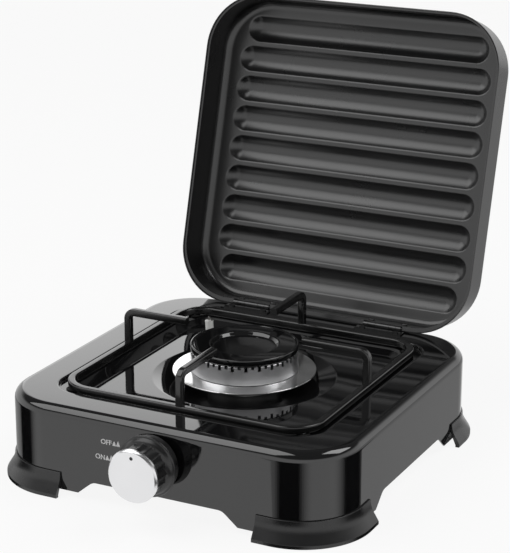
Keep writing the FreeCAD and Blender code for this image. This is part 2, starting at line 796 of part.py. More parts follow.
def piezo_igniter():
    x = valve_radius + 1 + slip
    y = valve_front + 6
    half = piezo_height / 2
    points = [(x, -half, 2), (x + piezo_width, -half, 4), (x + piezo_width, half, 4), (x, half, 2)]
    wire = rounded_profile(points, lambda a, b: Vector(a, y, gas_axis_height + b))
    case = Part.Face(wire).extrude(Vector(0, piezo_length, 0))
    terminal = rod_y(1.6, y + piezo_length, y + piezo_length + 7, x + piezo_width / 2)
    return case.fuse(terminal).removeSplitter()


def electrode_base():
    turn = math.radians(electrode_bearing)
    return Vector(electrode_reach * math.cos(turn), electrode_reach * math.sin(turn), dish_height(electrode_reach))


def electrode_axis():
    """Unit vector up the electrode, which leans away from the burner."""
    turn = math.radians(electrode_bearing)
    lean = math.radians(electrode_lean)
    return Vector(math.sin(lean) * math.cos(turn), math.sin(lean) * math.sin(turn), math.cos(lean))


def electrode_rod(radius, low, high):
    """Cylinder on the electrode's axis between two distances from the dish."""
    return Part.makeCylinder(radius, high - low, electrode_base() + electrode_axis() * low, electrode_axis())


def electrode_height():
    return (electrode_top - dish_height(electrode_reach)) / math.cos(math.radians(electrode_lean))


def igniter_electrode():
    top = electrode_height()
    low = top - electrode_length
    slope = math.degrees(math.atan2(dish_depth, dish_radius - dish_floor_radius)) + electrode_lean
    collar_radius = electrode_radius + electrode_collar
    collar_top = -casing_sheet - slip - collar_radius * math.tan(math.radians(slope))
    stem = electrode_rod(electrode_radius, low, top)
    tip = [e for e in stem.Edges if e.BoundBox.Center.z > electrode_top - 2 and e.Closed]
    stem = stem.makeFillet(0.7, tip)
    collar = electrode_rod(collar_radius, collar_top - electrode_collar_height, collar_top)
    bore = electrode_rod(electrode_wire_radius + running_clearance, low - 1, top + 1)
    return stem.fuse(collar).cut(bore)


def electrode_wire():
    """Steel wire up the ceramic's bore, bent in over the burner's edge."""
    top = electrode_height()
    base = electrode_base()
    axis = electrode_axis()
    start = base + axis * (top - electrode_length - 4)
    turn = base + axis * (top + electrode_wire_rise)
    inward = Vector(-base.x, -base.y, 0).normalize()
    end = turn + inward * electrode_wire_reach - Vector(0, 0, electrode_wire_drop)
    upright = Part.makeCylinder(electrode_wire_radius, (turn - start).Length, start, turn - start)
    across = Part.makeCylinder(electrode_wire_radius, (end - turn).Length, turn, end - turn)
    elbow = Part.makeSphere(electrode_wire_radius, turn)
    return upright.fuse(elbow).fuse(across).removeSplitter()


def burner_rail():
    """Channel across the casing, open downwards, with a tab up each side wall."""
    half = body_width / 2 - casing_sheet - slip
    top = bowl_bottom
    low = top - rail_depth
    half_w = rail_width / 2
    points = [(-half_w, low, 0), (-half_w + rail_sheet, low, 0), (-half_w + rail_sheet, top - rail_sheet, 1.0),
              (half_w - rail_sheet, top - rail_sheet, 1.0), (half_w - rail_sheet, low, 0), (half_w, low, 0),
              (half_w, top, 2.2), (-half_w, top, 2.2)]
    wire = rounded_profile(points, lambda a, b: Vector(-half, a, b))
    rail = Part.Face(wire).extrude(Vector(2 * half, 0, 0))
    for side in (-1, 1):
        edge = side * half
        rail = rail.fuse(box(min(edge, edge - side * rail_sheet), -half_w + 4, top - rail_sheet,
                             max(edge, edge - side * rail_sheet), half_w - 4, top + rail_tab_height))
    holes = [rod_z(rail_screw_radius + slip, top - 4, top + 1, x)
             for x in (-rail_screw_spacing / 2, rail_screw_spacing / 2)]
    return rail.cut(Part.makeCompound(holes)).removeSplitter()


def burner_screw(x):
    seat = bowl_bottom - rail_sheet
    head = rod_z(2 * rail_screw_radius, seat - 1.6, seat, x)
    shank = rod_z(rail_screw_radius - running_clearance, seat, bowl_bottom + 4.5, x)
    return head.fuse(shank).removeSplitter()


def gas_pipe():
    """Pipe from the valve's side port to the inlet, in one wide bend."""
    y = (valve_front + valve_back) / 2
    z = gas_axis_height
    start = Vector(-valve_port_reach + 5 - gap, y, z)
    end = Vector(inlet_x, back_face - casing_sheet - inlet_inside + 5, z)
    bend_start = Vector(inlet_x + pipe_bend, y, z)
    bend_end = Vector(inlet_x, y + pipe_bend, z)
    share = pipe_bend * (1 - math.sqrt(0.5))
    middle = Vector(inlet_x + share, y + share, z)
    path = [Part.makeLine(start, bend_start), Part.Arc(bend_start, middle, bend_end).toShape(),
            Part.makeLine(bend_end, end)]
    shapes = []
    for radius in (pipe_radius, pipe_radius - pipe_wall):
        circle = Part.Wire(Part.makeCircle(radius, start, Vector(-1, 0, 0)))
        shapes.append(swept(path, circle))
    return shapes[0].cut(shapes[1])


def pipe_nuts():
    """The two union nuts, at the valve's side port and at the inlet body."""
    y = (valve_front + valve_back) / 2
    valve_nut = hex_y(nut_size, 0, nut_length, 0, 0)
    valve_nut.rotate(Vector(0, 0, 0), Vector(0, 0, 1), 90)
    valve_nut.translate(Vector(-valve_port_reach, y, gas_axis_height))
    bore = Part.makeCylinder(pipe_radius + slip, 3 * nut_length,
                             Vector(-valve_port_reach + nut_length, y, gas_axis_height), Vector(-1, 0, 0))
    inlet_end = back_face - casing_sheet - inlet_inside
    inlet_nut = hex_y(nut_size, inlet_end - nut_length, inlet_end, inlet_x, gas_axis_height)
    inlet_bore = rod_y(pipe_radius + slip, inlet_end - nut_length - 1, inlet_end + 1, inlet_x)
    return Part.makeCompound([valve_nut.cut(bore), inlet_nut.cut(inlet_bore)])


def inlet_body():
    inside = back_face - casing_sheet - inlet_inside
    outside = back_face + inlet_outside
    body = rod_y(inlet_body_radius, inside, outside, inlet_x)
    flange_end = back_face + inlet_outside + inlet_flange_length
    body = body.fuse(hex_y(inlet_flange_size, back_face, flange_end, inlet_x, gas_axis_height))
    way = rod_y(pipe_radius - pipe_wall, inside, flange_end + 1, inlet_x)
    pipe_socket = rod_y(pipe_radius + slip, inside - 1, inside + 5 + gap, inlet_x)
    return body.cut(way).cut(pipe_socket).removeSplitter()


def inlet_locknut():
    end = back_face - casing_sheet
    nut = hex_y(locknut_size, end - locknut_length, end, inlet_x, gas_axis_height)
    return nut.cut(rod_y(inlet_body_radius + running_clearance, end - locknut_length - 1, end + 1, inlet_x))


def hose_tail():
    start = back_face + inlet_outside + inlet_flange_length
    end = start + hose_tail_length
    r = hose_tail_radius
    tail = lathe_y([(hose_tail_bore, start, 0), (r, start, 0), (r, end, 1.0), (hose_tail_bore, end, 0)],
                   inlet_x, gas_axis_height)
    grooves = []
    for index in range(hose_groove_count):
        groove_y = end - 4.0 - index * hose_groove_pitch
        ring = rod_y(r + 1, groove_y - hose_groove_width, groove_y, inlet_x)
        grooves.append(ring.cut(rod_y(r - hose_groove_depth, groove_y - 5, groove_y + 5, inlet_x)))
    return tail.cut(Part.makeCompound(grooves))


def knob_body():
    """Hollow skirt, fluted grip and the hub that drives the spindle."""
    back = front_face - knob_stand_off
    step = back - knob_skirt_length
    front = step - knob_grip_length
    r = knob_skirt_radius
    wall = knob_wall
    solid = lathe_y([(0, front, 0), (knob_grip_radius, front, 0.5), (knob_grip_radius, step, 1.0),
                     (r, step, knob_edge_radius), (r, back, 0.8), (r - wall, back, 0),
                     (r - wall, step + wall, 1.5), (knob_hub_radius + 5, step + wall, 1.0),
                     (knob_hub_radius + 5, front + 3 * wall, 1.0), (knob_hub_radius, front + 3 * wall, 0),
                     (knob_hub_radius, back - 1.0, 0.5), (0, back - 1.0, 0)], 0, gas_axis_height)
    flutes = []
    for index in range(knob_flutes):
        turn = 2 * math.pi * index / knob_flutes
        reach = knob_grip_radius + flute_radius * 0.45
        flutes.append(rod_y(flute_radius, front - 1, step - 0.6, reach * math.cos(turn),
                            gas_axis_height + reach * math.sin(turn)))
    spindle_end = front + spindle_tip_depth
    bore = rod_y(spindle_radius + running_clearance, spindle_end - gap, back)
    flat = box(-spindle_radius - 1, spindle_end - 1, gas_axis_height + spindle_radius * 0.55 + running_clearance,
               spindle_radius + 1, spindle_end + spindle_flat_length - gap, gas_axis_height + spindle_radius + 2)
    return solid.cut(Part.makeCompound(flutes)).cut(bore.cut(flat))


def knob_face():
    """Bright plate on the knob, with a spigot that snaps into the grip and an index dot."""
    back = front_face - knob_stand_off - knob_skirt_length - knob_grip_length
    front = back - knob_face_thickness
    r = knob_face_radius
    plate = lathe_y([(0, front, 0), (r - knob_face_bevel, front, 0.4), (r, front + knob_face_bevel, 0.3),
                     (r, back, 0.4), (0, back, 0)], 0, gas_axis_height)
    dot = rod_y(knob_dot_radius, front - 1, front + 0.6, 0, gas_axis_height + knob_dot_offset)
    return plate.cut(dot)


def channel_solid(grow, reach, y):
    """Long rounded pressing: part of a capsule that stands out of the lid's panel."""
    bow = (channel_width ** 2 / 4 + channel_depth ** 2) / (2 * channel_depth)
    radius = bow + grow
    straight = reach - channel_width / 2
    centre_z = lid_rim + lid_inside_height + channel_depth - bow
    core = Part.makeCylinder(radius, 2 * straight, Vector(-straight, y, centre_z), Vector(1, 0, 0))
    ends = [Part.makeSphere(radius, Vector(x, y, centre_z)) for x in (-straight, straight)]
    capsule = core.fuse(ends[0]).fuse(ends[1])
    low = lid_rim + lid_inside_height - 0.5
    slab = box(-reach - channel_width, y - channel_width, low,
               reach + channel_width, y + channel_width, centre_z + radius + channel_depth)
    return capsule.common(slab)


def channel_places():
    for index in range(channel_count):
        y = (index - (channel_count - 1) / 2) * channel_pitch
        at_end = index in (0, channel_count - 1)
        yield y, outer_channel_reach if at_end else channel_reach


def lid_solid(grow, height):
    """Lid's space: grow = 0 is the inside, grow = sheet is the outside."""
    inset = 2 * (lid_sheet - grow)
    block = rounded_block(lid_width - inset, lid_depth - inset, lid_corner_radius - (lid_sheet - grow),
                          lid_rim, height)
    block = round_rim(block, height, lid_fillet - (lid_sheet - grow))
    for y, reach in channel_places():
        block = block.fuse(channel_solid(grow, reach, y))
    return block


def lid():
    panel = lid_rim + lid_inside_height
    shell = lid_solid(lid_sheet, panel + lid_sheet).cut(lid_solid(0.0, panel))
    hem = rounded_block(lid_width + 2 * lid_hem, lid_depth + 2 * lid_hem, lid_corner_radius + lid_hem,
                        lid_rim, lid_rim + lid_hem_height)
    hem = hem.cut(rounded_block(lid_width - lid_sheet, lid_depth - lid_sheet, lid_corner_radius - lid_sheet / 2,
                                lid_rim - 1, lid_rim + lid_hem_height + 1))
    shell = shell.fuse(hem)
    half = leaf_length / 2 + lid_notch_margin
    cuts = []
    for x in (-hinge_offset, hinge_offset):
        cuts.append(box(x - half, lid_back - 4, lid_rim - 1, x + half, lid_back + 4, lid_rim + lid_notch_height))
        for place in lid_rivet_places(x):
            cuts.append(rod_y(rivet_radius + slip, lid_back - 4, lid_back + 4, place[0], place[1]))
    return shell.cut(Part.makeCompound(cuts))


def knuckle(x, width, arm):
    """One rolled eye of a hinge leaf, with the strip that joins it to the leaf."""
    eye = Part.makeCylinder(knuckle_radius, width, Vector(x - width / 2, pivot_y, pivot_z), Vector(1, 0, 0))
    return eye.fuse(arm)


def pin_bore(x):
    return Part.makeCylinder(pin_radius + running_clearance, leaf_length + 10,
                             Vector(x - leaf_length / 2 - 5, pivot_y, pivot_z), Vector(1, 0, 0))


def deck_leaf(centre):
    """Leaf riveted flat to the deck; its middle and end eyes carry the pin."""
    low = deck_top
    high = deck_top + leaf_sheet
    front = pivot_y - knuckle_radius - leaf_width
    back = pivot_y - knuckle_radius - gap
    half = leaf_length / 2
    points = [(centre - half, front, 2), (centre + half, front, 2), (centre + half, back, 0.5),
              (centre - half, back, 0.5)]
    wire = rounded_profile(points, lambda a, b: Vector(a, b, low))
    leaf = Part.Face(wire).extrude(Vector(0, 0, high - low))
    middle = 2 * (lid_knuckle_offset - lid_knuckle_length / 2 - gap)
    end_x = lid_knuckle_offset + lid_knuckle_length / 2 + gap + end_knuckle_length / 2
    for x, width in ((centre, middle), (centre - end_x, end_knuckle_length), (centre + end_x, end_knuckle_length)):
        arm = box(x - width / 2, back - 1, low, x + width / 2, pivot_y, high)
        leaf = leaf.fuse(knuckle(x, width, arm))
    holes = [rod_z(rivet_radius, low - 1, high + 1, x, rivet_y()) for x in rivet_xs(centre)]
    return leaf.cut(pin_bore(centre)).cut(Part.makeCompound(holes)).removeSplitter()


def rivet_xs(centre):
    return [centre - rivet_spacing / 2, centre + rivet_spacing / 2]


def rivet_y():
    return pivot_y - knuckle_radius - leaf_width * 0.55


def deck_rivet_places():
    return [(x, rivet_y()) for x in rivet_xs(hinge_offset)]


def lid_rivet_places(centre):
    z = lid_rim + lid_notch_height + lid_leaf_height * 0.55
    return [(x, z) for x in rivet_xs(centre)]


def lid_leaf(centre):
    """Leaf on the outside of the lid's back wall, with two eyes on the pin."""
    face = lid_back
    back = face + leaf_sheet
    low = lid_rim + lid_hem_height + gap + slip
    high = lid_rim + lid_notch_height + lid_leaf_height
    half = leaf_length / 2
    points = [(centre - half, low + 2.4, 0.5), (centre + half, low + 2.4, 0.5), (centre + half, high, 2),
              (centre - half, high, 2)]
    wire = rounded_profile(points, lambda a, b: Vector(a, face, b))
    leaf = Part.Face(wire).extrude(Vector(0, back - face, 0))
    for side in (-1, 1):
        x = centre + side * lid_knuckle_offset
        width = lid_knuckle_length
        arm = box(x - width / 2, face, pivot_z, x + width / 2, back, low + 4)
        leaf = leaf.fuse(knuckle(x, width, arm))
    holes = [rod_y(rivet_radius, face - 1, back + 1, place[0], place[1]) for place in lid_rivet_places(centre)]
    return leaf.cut(pin_bore(centre)).cut(Part.makeCompound(holes)).removeSplitter()


def hinge_pin(centre):
    return Part.makeCylinder(pin_radius, pin_length, Vector(centre - pin_length / 2, pivot_y, pivot_z), Vector(1, 0, 0))


def deck_rivet(x, y):
    top = deck_top + leaf_sheet
    head = rod_z(rivet_head_radius, top, top + rivet_head_height, x, y)
    shank = rod_z(rivet_radius - running_clearance, deck_top - casing_sheet, top, x, y)
    tail = rod_z(rivet_head_radius, deck_top - casing_sheet - rivet_head_height, deck_top - casing_sheet, x, y)
    return head.fuse(shank).fuse(tail).removeSplitter()


def lid_rivet(x, z):
    back = lid_back + leaf_sheet
    inside = lid_back - lid_sheet
    head = rod_y(rivet_head_radius, back, back + rivet_head_height, x, z)
    shank = rod_y(rivet_radius - running_clearance, inside, back, x, z)
    tail = rod_y(rivet_head_radius, inside - rivet_head_height, inside, x, z)
    return head.fuse(shank).fuse(tail).removeSplitter()


def build():
    """Every node of the stove, by name."""
    nodes = {"casing": casing()}
    for name, shape in at_corners(foot).items():
        nodes["foot_" + name] = shape
    nodes["foot_screws"] = Part.makeCompound(list(at_corners(foot_screw).values()))
    nodes["pan_frame"] = pan_frame()
    nodes["pan_finger_front"] = finger()
    nodes["pan_finger_rear"] = mirrored_y(finger())
    nodes["pan_finger_right"] = side_finger()
    nodes["pan_finger_left"] = mirrored_x(side_finger())
    nodes["pan_support_grommets"] = Part.makeCompound([grommet(sx, sy) for sx in (-1, 1) for sy in (-1, 1)])
    nodes["burner_bowl"] = burner_bowl()
    nodes["burner_head"] = burner_head().cut(port_cutters())
    nodes["burner_cap"] = burner_cap()
    nodes["burner_rail"] = burner_rail()
    rail_xs = (-rail_screw_spacing / 2, rail_screw_spacing / 2)
    nodes["burner_screws"] = Part.makeCompound([burner_screw(x) for x in rail_xs])
    nodes["mixing_tube"] = mixing_tube()
    nodes["air_shutter"] = air_shutter()
    nodes["injector"] = injector()
    nodes["gas_valve"] = gas_valve()
    nodes["valve_plug"] = valve_plug()
    nodes["valve_spindle"] = valve_spindle()
    nodes["valve_bracket"] = valve_bracket()
    screw_xs = (-valve_screw_spacing / 2, valve_screw_spacing / 2)
    nodes["valve_screws"] = Part.makeCompound([valve_screw(x) for x in screw_xs])
    nodes["knob_body"] = knob_body()
    nodes["knob_face"] = knob_face()
    nodes["piezo_igniter"] = piezo_igniter()
    nodes["igniter_electrode"] = igniter_electrode()
    nodes["electrode_wire"] = electrode_wire()
    nodes["gas_pipe"] = gas_pipe()
    nodes["pipe_nuts"] = pipe_nuts()
    nodes["inlet_body"] = inlet_body()
    nodes["inlet_locknut"] = inlet_locknut()
    nodes["hose_tail"] = hose_tail()
    sides = (("left", -hinge_offset), ("right", hinge_offset))
    for name, x in sides:
        nodes["deck_leaf_" + name] = deck_leaf(x)
        nodes["lid_leaf_" + name] = opened(lid_leaf(x))
    nodes["hinge_pins"] = Part.makeCompound([hinge_pin(x) for name, x in sides])
    deck_rivets = [deck_rivet(sx * x, y) for sx in (-1, 1) for x, y in deck_rivet_places()]
    nodes["deck_rivets"] = Part.makeCompound(deck_rivets)
    lid_rivets = [lid_rivet(x, z) for name, centre in sides for x, z in lid_rivet_places(centre)]
    nodes["lid_rivets"] = opened(Part.makeCompound(lid_rivets))
    nodes["lid"] = opened(lid())
    return nodes


os.makedirs("parts", exist_ok=True)
for node, shape in build().items():
    shape.translate(Vector(0, -origin_y, 0))
    shape.exportStep("parts/" + node + ".step")
    print(f"{node:22s} solids {len(shape.Solids)} valid {shape.isValid()} volume {shape.Volume:10.1f}")
print("origin set back by", round(origin_y, 4), "hinge at", round(pivot_y - origin_y, 4), round(pivot_z, 4))
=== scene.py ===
# %% [markdown]
# A low tabletop gas stove in black enamel, dressed for its picture. The engineering
# model gives every place and size, so this script only adds the skins that the eye
# sees: smooth pressed sheet, polished metal, moulded plastic and a few printed words.

# %% Load the engineering model as the fixed frame
import json
import math

import bmesh
import bpy
from mathutils import Matrix, Vector


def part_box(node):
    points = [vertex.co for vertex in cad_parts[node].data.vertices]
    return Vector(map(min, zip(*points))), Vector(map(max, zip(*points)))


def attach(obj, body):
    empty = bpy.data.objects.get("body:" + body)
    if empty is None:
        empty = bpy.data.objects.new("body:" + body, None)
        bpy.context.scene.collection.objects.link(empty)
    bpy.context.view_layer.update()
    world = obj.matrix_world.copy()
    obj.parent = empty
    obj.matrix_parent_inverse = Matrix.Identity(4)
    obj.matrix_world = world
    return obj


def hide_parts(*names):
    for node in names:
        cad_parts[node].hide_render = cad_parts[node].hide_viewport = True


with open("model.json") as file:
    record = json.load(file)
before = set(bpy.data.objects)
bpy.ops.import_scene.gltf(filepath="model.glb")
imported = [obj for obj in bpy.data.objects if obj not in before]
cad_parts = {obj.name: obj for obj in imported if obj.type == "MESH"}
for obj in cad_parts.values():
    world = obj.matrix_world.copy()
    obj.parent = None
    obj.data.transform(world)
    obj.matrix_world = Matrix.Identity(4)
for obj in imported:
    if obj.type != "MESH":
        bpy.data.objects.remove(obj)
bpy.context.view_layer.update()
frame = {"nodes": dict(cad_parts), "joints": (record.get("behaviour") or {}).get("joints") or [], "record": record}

MM = 0.001
casing_low, casing_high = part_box("casing")
MIDDLE_Y = (casing_low.y + casing_high.y) / 2
print("casing size in mm:", [round(s / MM, 1) for s in casing_high - casing_low])

# %% [markdown]
# The photograph was taken from the front right, a little above the stove, with a long
# lens. The camera stands at that place, so that the picture can be laid over the
# photograph. Its position was worked out from the stove's own straight edges and feet.

# %% Camera at the photograph's angle
IMAGE_WIDTH = 510
FOCAL_PIXELS = 1963.8
SENSOR = 36.0
CAMERA_AZIMUTH = math.radians(26.98)
CAMERA_ELEVATION = math.radians(18.005)
CAMERA_DISTANCE = 1.703
CAMERA_ROLL = math.radians(0.08)
LOOK_AT = Vector((-0.06485, 0.14554 + MIDDLE_Y, 0.09422))

backwards = Vector((math.sin(CAMERA_AZIMUTH) * math.cos(CAMERA_ELEVATION),
                    -math.cos(CAMERA_AZIMUTH) * math.cos(CAMERA_ELEVATION),
                    math.sin(CAMERA_ELEVATION)))
bpy.ops.object.camera_add(location=LOOK_AT + backwards * CAMERA_DISTANCE)
camera = bpy.context.object
camera.name = "photo_camera"
camera.rotation_mode = "QUATERNION"
camera.rotation_quaternion = (-backwards).to_track_quat("-Z", "Y")
camera.rotation_quaternion = camera.rotation_quaternion @ Matrix.Rotation(CAMERA_ROLL, 4, "Z").to_quaternion()
camera.data.sensor_fit = "HORIZONTAL"
camera.data.sensor_width = SENSOR
camera.data.lens = SENSOR * FOCAL_PIXELS / IMAGE_WIDTH
camera.data.clip_start = 0.05
camera.data.clip_end = 60.0
bpy.context.scene.camera = camera
bpy.context.scene.view_settings.view_transform = "Standard"
print("camera at", [round(c, 3) for c in camera.location])

# %% [markdown]
# Everything new is drawn the way a press tool or a lathe would make it: closed outlines
# stacked one over another and bridged into a skin. One helper opens an empty piece, one
# draws a rounded rectangle (a plane whose corners are bevelled), one draws a circle with
# as many points, and one bridges each outline to the next.

# %% Helpers that draw outlines and bridge them
CORNER_STEPS = 16
RING_POINTS = 4 * (CORNER_STEPS + 1)


def new_piece(name):
    """An empty mesh at the origin, open in edit mode."""
    bpy.ops.object.select_all(action="DESELECT")
    bpy.ops.mesh.primitive_plane_add(size=1.0, location=(0, 0, 0))
    piece = bpy.context.object
    piece.name = name
    piece.data.name = name
    bpy.ops.object.mode_set(mode="EDIT")
    bpy.ops.mesh.delete(type="VERT")
    return piece


def edit_mesh():
    return bmesh.from_edit_mesh(bpy.context.object.data)


def select_points(test):
    """Select the points that pass the test, with the edges and faces between them."""
    bpy.ops.mesh.select_mode(type="VERT")
    mesh = edit_mesh()
    mesh.verts.index_update()
    for vert in mesh.verts:
        vert.select = False
    mesh.select_flush(False)
    for vert in mesh.verts:
        vert.select = bool(test(vert))
    mesh.select_flush_mode()
    bmesh.update_edit_mesh(bpy.context.object.data)


def rounded_outline(width, depth, radius, z, at=(0.0, 0.0), steps=CORNER_STEPS):
    """Add a rounded rectangle, in metres, centred on the casing's axis."""
    middle = (at[0], at[1] + MIDDLE_Y, z)
    bpy.ops.mesh.select_all(action="DESELECT")
    bpy.ops.mesh.primitive_plane_add(size=1.0, location=middle)
    bpy.ops.transform.resize(value=(width, depth, 1.0), center_override=middle)
    most = min(width, depth) * 0.499
    bpy.ops.mesh.bevel(offset=min(radius, most), segments=steps, affect="VERTICES")
    bpy.ops.mesh.delete(type="ONLY_FACE")


APART = 0.0371          # a height that no two outlines of a piece differ by


def join_rings(first, second):
    """Bridge two rings of points. Flat rings would join askew, so the second stands apart meanwhile."""
    select_points(lambda v: v.index in second)
    bpy.ops.transform.translate(value=(0, 0, APART))
    select_points(lambda v: v.index in first or v.index in second)
    bpy.ops.mesh.bridge_edge_loops()
    select_points(lambda v: v.index in second)
    bpy.ops.transform.translate(value=(0, 0, -APART))


def bridge_outlines(outlines, closed=False, points=RING_POINTS):
    """Draw each outline and bridge it to the one before; closed joins the last to the first."""
    start = len(edit_mesh().verts)
    rings = []
    for index, draw in enumerate(outlines):
        draw()
        rings.append(range(start + index * points, start + (index + 1) * points))
        if index:
            join_rings(rings[-2], rings[-1])
    if closed:
        join_rings(rings[0], rings[-1])


def rectangle(width, depth, radius, z, at=(0.0, 0.0)):
    return lambda: rounded_outline(width * MM, depth * MM, radius * MM, z * MM, (at[0] * MM, at[1] * MM))


def round_(radius, z, at=(0.0, 0.0)):
    return rectangle(2 * radius, 2 * radius, radius, z, at)


def close_piece(upwards=True):
    """Leave edit mode with the faces turned outwards."""
    bpy.ops.mesh.select_all(action="SELECT")
    bpy.ops.mesh.remove_doubles(threshold=0.00001)
    bpy.ops.mesh.normals_make_consistent(inside=False)
    mesh = edit_mesh()
    mesh.faces.ensure_lookup_table()
    highest = max(mesh.faces, key=lambda f: f.calc_center_median().z + 0.001 * abs(f.normal.z))
    if upwards and highest.normal.z < 0:
        bpy.ops.mesh.flip_normals()
    bpy.ops.object.mode_set(mode="OBJECT")


def add_modifier(piece, kind, **settings):
    """Add a modifier with these settings and apply it at once."""
    bpy.ops.object.select_all(action="DESELECT")
    piece.select_set(True)
    bpy.context.view_layer.objects.active = piece
    modifier = piece.modifiers.new(kind.lower(), kind)
    for key, value in settings.items():
        setattr(modifier, key, value)
    bpy.ops.object.modifier_apply(modifier=modifier.name)


def soften_edges(piece, width, angle=20.0, segments=3):
    """Round the creases that are sharper than the angle."""
    add_modifier(piece, "BEVEL", width=width * MM, segments=segments, limit_method="ANGLE",
                 angle_limit=math.radians(angle), harden_normals=False, use_clamp_overlap=True)


def shade(piece, angle=32.0):
    """Smooth shading up to the angle, with large flat faces kept flat."""
    bpy.ops.object.select_all(action="DESELECT")
    piece.select_set(True)
    bpy.context.view_layer.objects.active = piece
    bpy.ops.object.shade_smooth_by_angle(angle=math.radians(angle))
    add_modifier(piece, "WEIGHTED_NORMAL", mode="FACE_AREA", weight=50, keep_sharp=True)


def cut_with(piece, cutter, operation="DIFFERENCE"):
    """Cut a piece with another and throw the cutter away."""
    add_modifier(piece, "BOOLEAN", object=cutter, operation=operation, solver="EXACT")
    bpy.data.objects.remove(cutter)


def seat(piece, body, slot, *nodes):
    """Fasten a finished piece to its body and hide what it stands for; the slot is not used."""
    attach(piece, body)
    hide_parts(*nodes)
    print(f"{piece.name:22s} {len(piece.data.polygons):6d} faces on {body}")


# %% [markdown]
# Finishes first. The stove's real surfaces are never quite even: enamel has a slight
# orange peel and a film of dust, wire is dipped and a little softer, plastic has a
# moulded grain. Three small node groups make those effects once, in metres, and every
# material places them with its own values.

# %% Shared effects as node groups
def group_base(name, inputs, outputs):
    """An empty node group with named sockets, and its two end nodes."""
    group = bpy.data.node_groups.new(name, "ShaderNodeTree")
    for label, kind, value in inputs:
        socket = group.interface.new_socket(name=label, in_out="INPUT", socket_type=kind)
        socket.default_value = value
    for label, kind in outputs:
        group.interface.new_socket(name=label, in_out="OUTPUT", socket_type=kind)
    start = group.nodes.new("NodeGroupInput")
    end = group.nodes.new("NodeGroupOutput")
    start.location, end.location = (-900, 0), (600, 0)
    return group, start, end


def add_node(tree, kind, links=None, **settings):
    """Add a node with these settings, and link its inputs by name or number."""
    node = tree.nodes.new(kind)
    for key, value in settings.items():
        setattr(node, key, value)
    for key, value in (links or {}).items():
        if hasattr(value, "is_output"):
            tree.links.new(value, node.inputs[key])
        else:
            node.inputs[key].default_value = value
    return node


def make_fine_texture():
    """Height and mask of a fine, even grain at a given size."""
    group, start, end = group_base(
        "fine_texture",
        [("Grain size", "NodeSocketFloat", 0.002), ("Detail", "NodeSocketFloat", 2.0)],
        [("Height", "NodeSocketFloat"), ("Mask", "NodeSocketFloat")])
    place = add_node(group, "ShaderNodeTexCoord")
    scale = add_node(group, "ShaderNodeMath", {0: 1.0, 1: start.outputs["Grain size"]}, operation="DIVIDE")
    noise = add_node(group, "ShaderNodeTexNoise", {"Vector": place.outputs["Object"], "Scale": scale.outputs[0],
                                                   "Detail": start.outputs["Detail"]})
    sharp = add_node(group, "ShaderNodeMapRange", {"Value": noise.outputs["Fac"], "From Min": 0.35, "From Max": 0.65})
    group.links.new(noise.outputs["Fac"], end.inputs["Height"])
    group.links.new(sharp.outputs["Result"], end.inputs["Mask"])
    return group


def make_cloud():
    """A slow, patchy mask for dust, wiping marks and heat tint."""
    group, start, end = group_base(
        "slow_patches",
        [("Patch size", "NodeSocketFloat", 0.05), ("Amount", "NodeSocketFloat", 1.0)],
        [("Mask", "NodeSocketFloat")])
    place = add_node(group, "ShaderNodeTexCoord")
    scale = add_node(group, "ShaderNodeMath", {0: 1.0, 1: start.outputs["Patch size"]}, operation="DIVIDE")
    noise = add_node(group, "ShaderNodeTexNoise", {"Vector": place.outputs["Object"], "Scale": scale.outputs[0],
                                                   "Detail": 4.0, "Roughness": 0.6})
    sharp = add_node(group, "ShaderNodeMapRange", {"Value": noise.outputs["Fac"], "From Min": 0.3, "From Max": 0.7})
    amount = add_node(group, "ShaderNodeMath", {0: sharp.outputs["Result"], 1: start.outputs["Amount"]},
                      operation="MULTIPLY")
    group.links.new(amount.outputs[0], end.inputs["Mask"])
    return group


def make_turned_rings():
    """Fine rings round a vertical axis, the marks of a lathe tool."""
    group, start, end = group_base(
        "turned_rings",
        [("Centre", "NodeSocketVector", (0.0, 0.0, 0.0)), ("Pitch", "NodeSocketFloat", 0.0005)],
        [("Height", "NodeSocketFloat")])
    place = add_node(group, "ShaderNodeTexCoord")
    moved = add_node(group, "ShaderNodeVectorMath", {0: place.outputs["Object"], 1: start.outputs["Centre"]},
                     operation="SUBTRACT")
    flat = add_node(group, "ShaderNodeVectorMath", {0: moved.outputs[0], 1: (1.0, 1.0, 0.0)}, operation="MULTIPLY")
    radius = add_node(group, "ShaderNodeVectorMath", {0: flat.outputs[0]}, operation="LENGTH")
    steps = add_node(group, "ShaderNodeMath", {0: radius.outputs["Value"], 1: start.outputs["Pitch"]},
                     operation="DIVIDE")
    noise = add_node(group, "ShaderNodeTexNoise", {"W": steps.outputs[0], "Scale": 1.0, "Detail": 3.0},
                     noise_dimensions="1D")
    group.links.new(noise.outputs["Fac"], end.inputs["Height"])
    return group


FINE_TEXTURE = make_fine_texture()
SLOW_PATCHES = make_cloud()
TURNED_RINGS = make_turned_rings()
print("node groups:", [g.name for g in bpy.data.node_groups])

# %% [markdown]
# One recipe builds each finish: a Principled shader, a colour that drifts a little
# between two near tones, a roughness that follows patches of dust, and a bump from the
# grain. The values are what sets gloss enamel apart from plastic or plated steel.

# %% A recipe for a finish
MATERIALS = {}


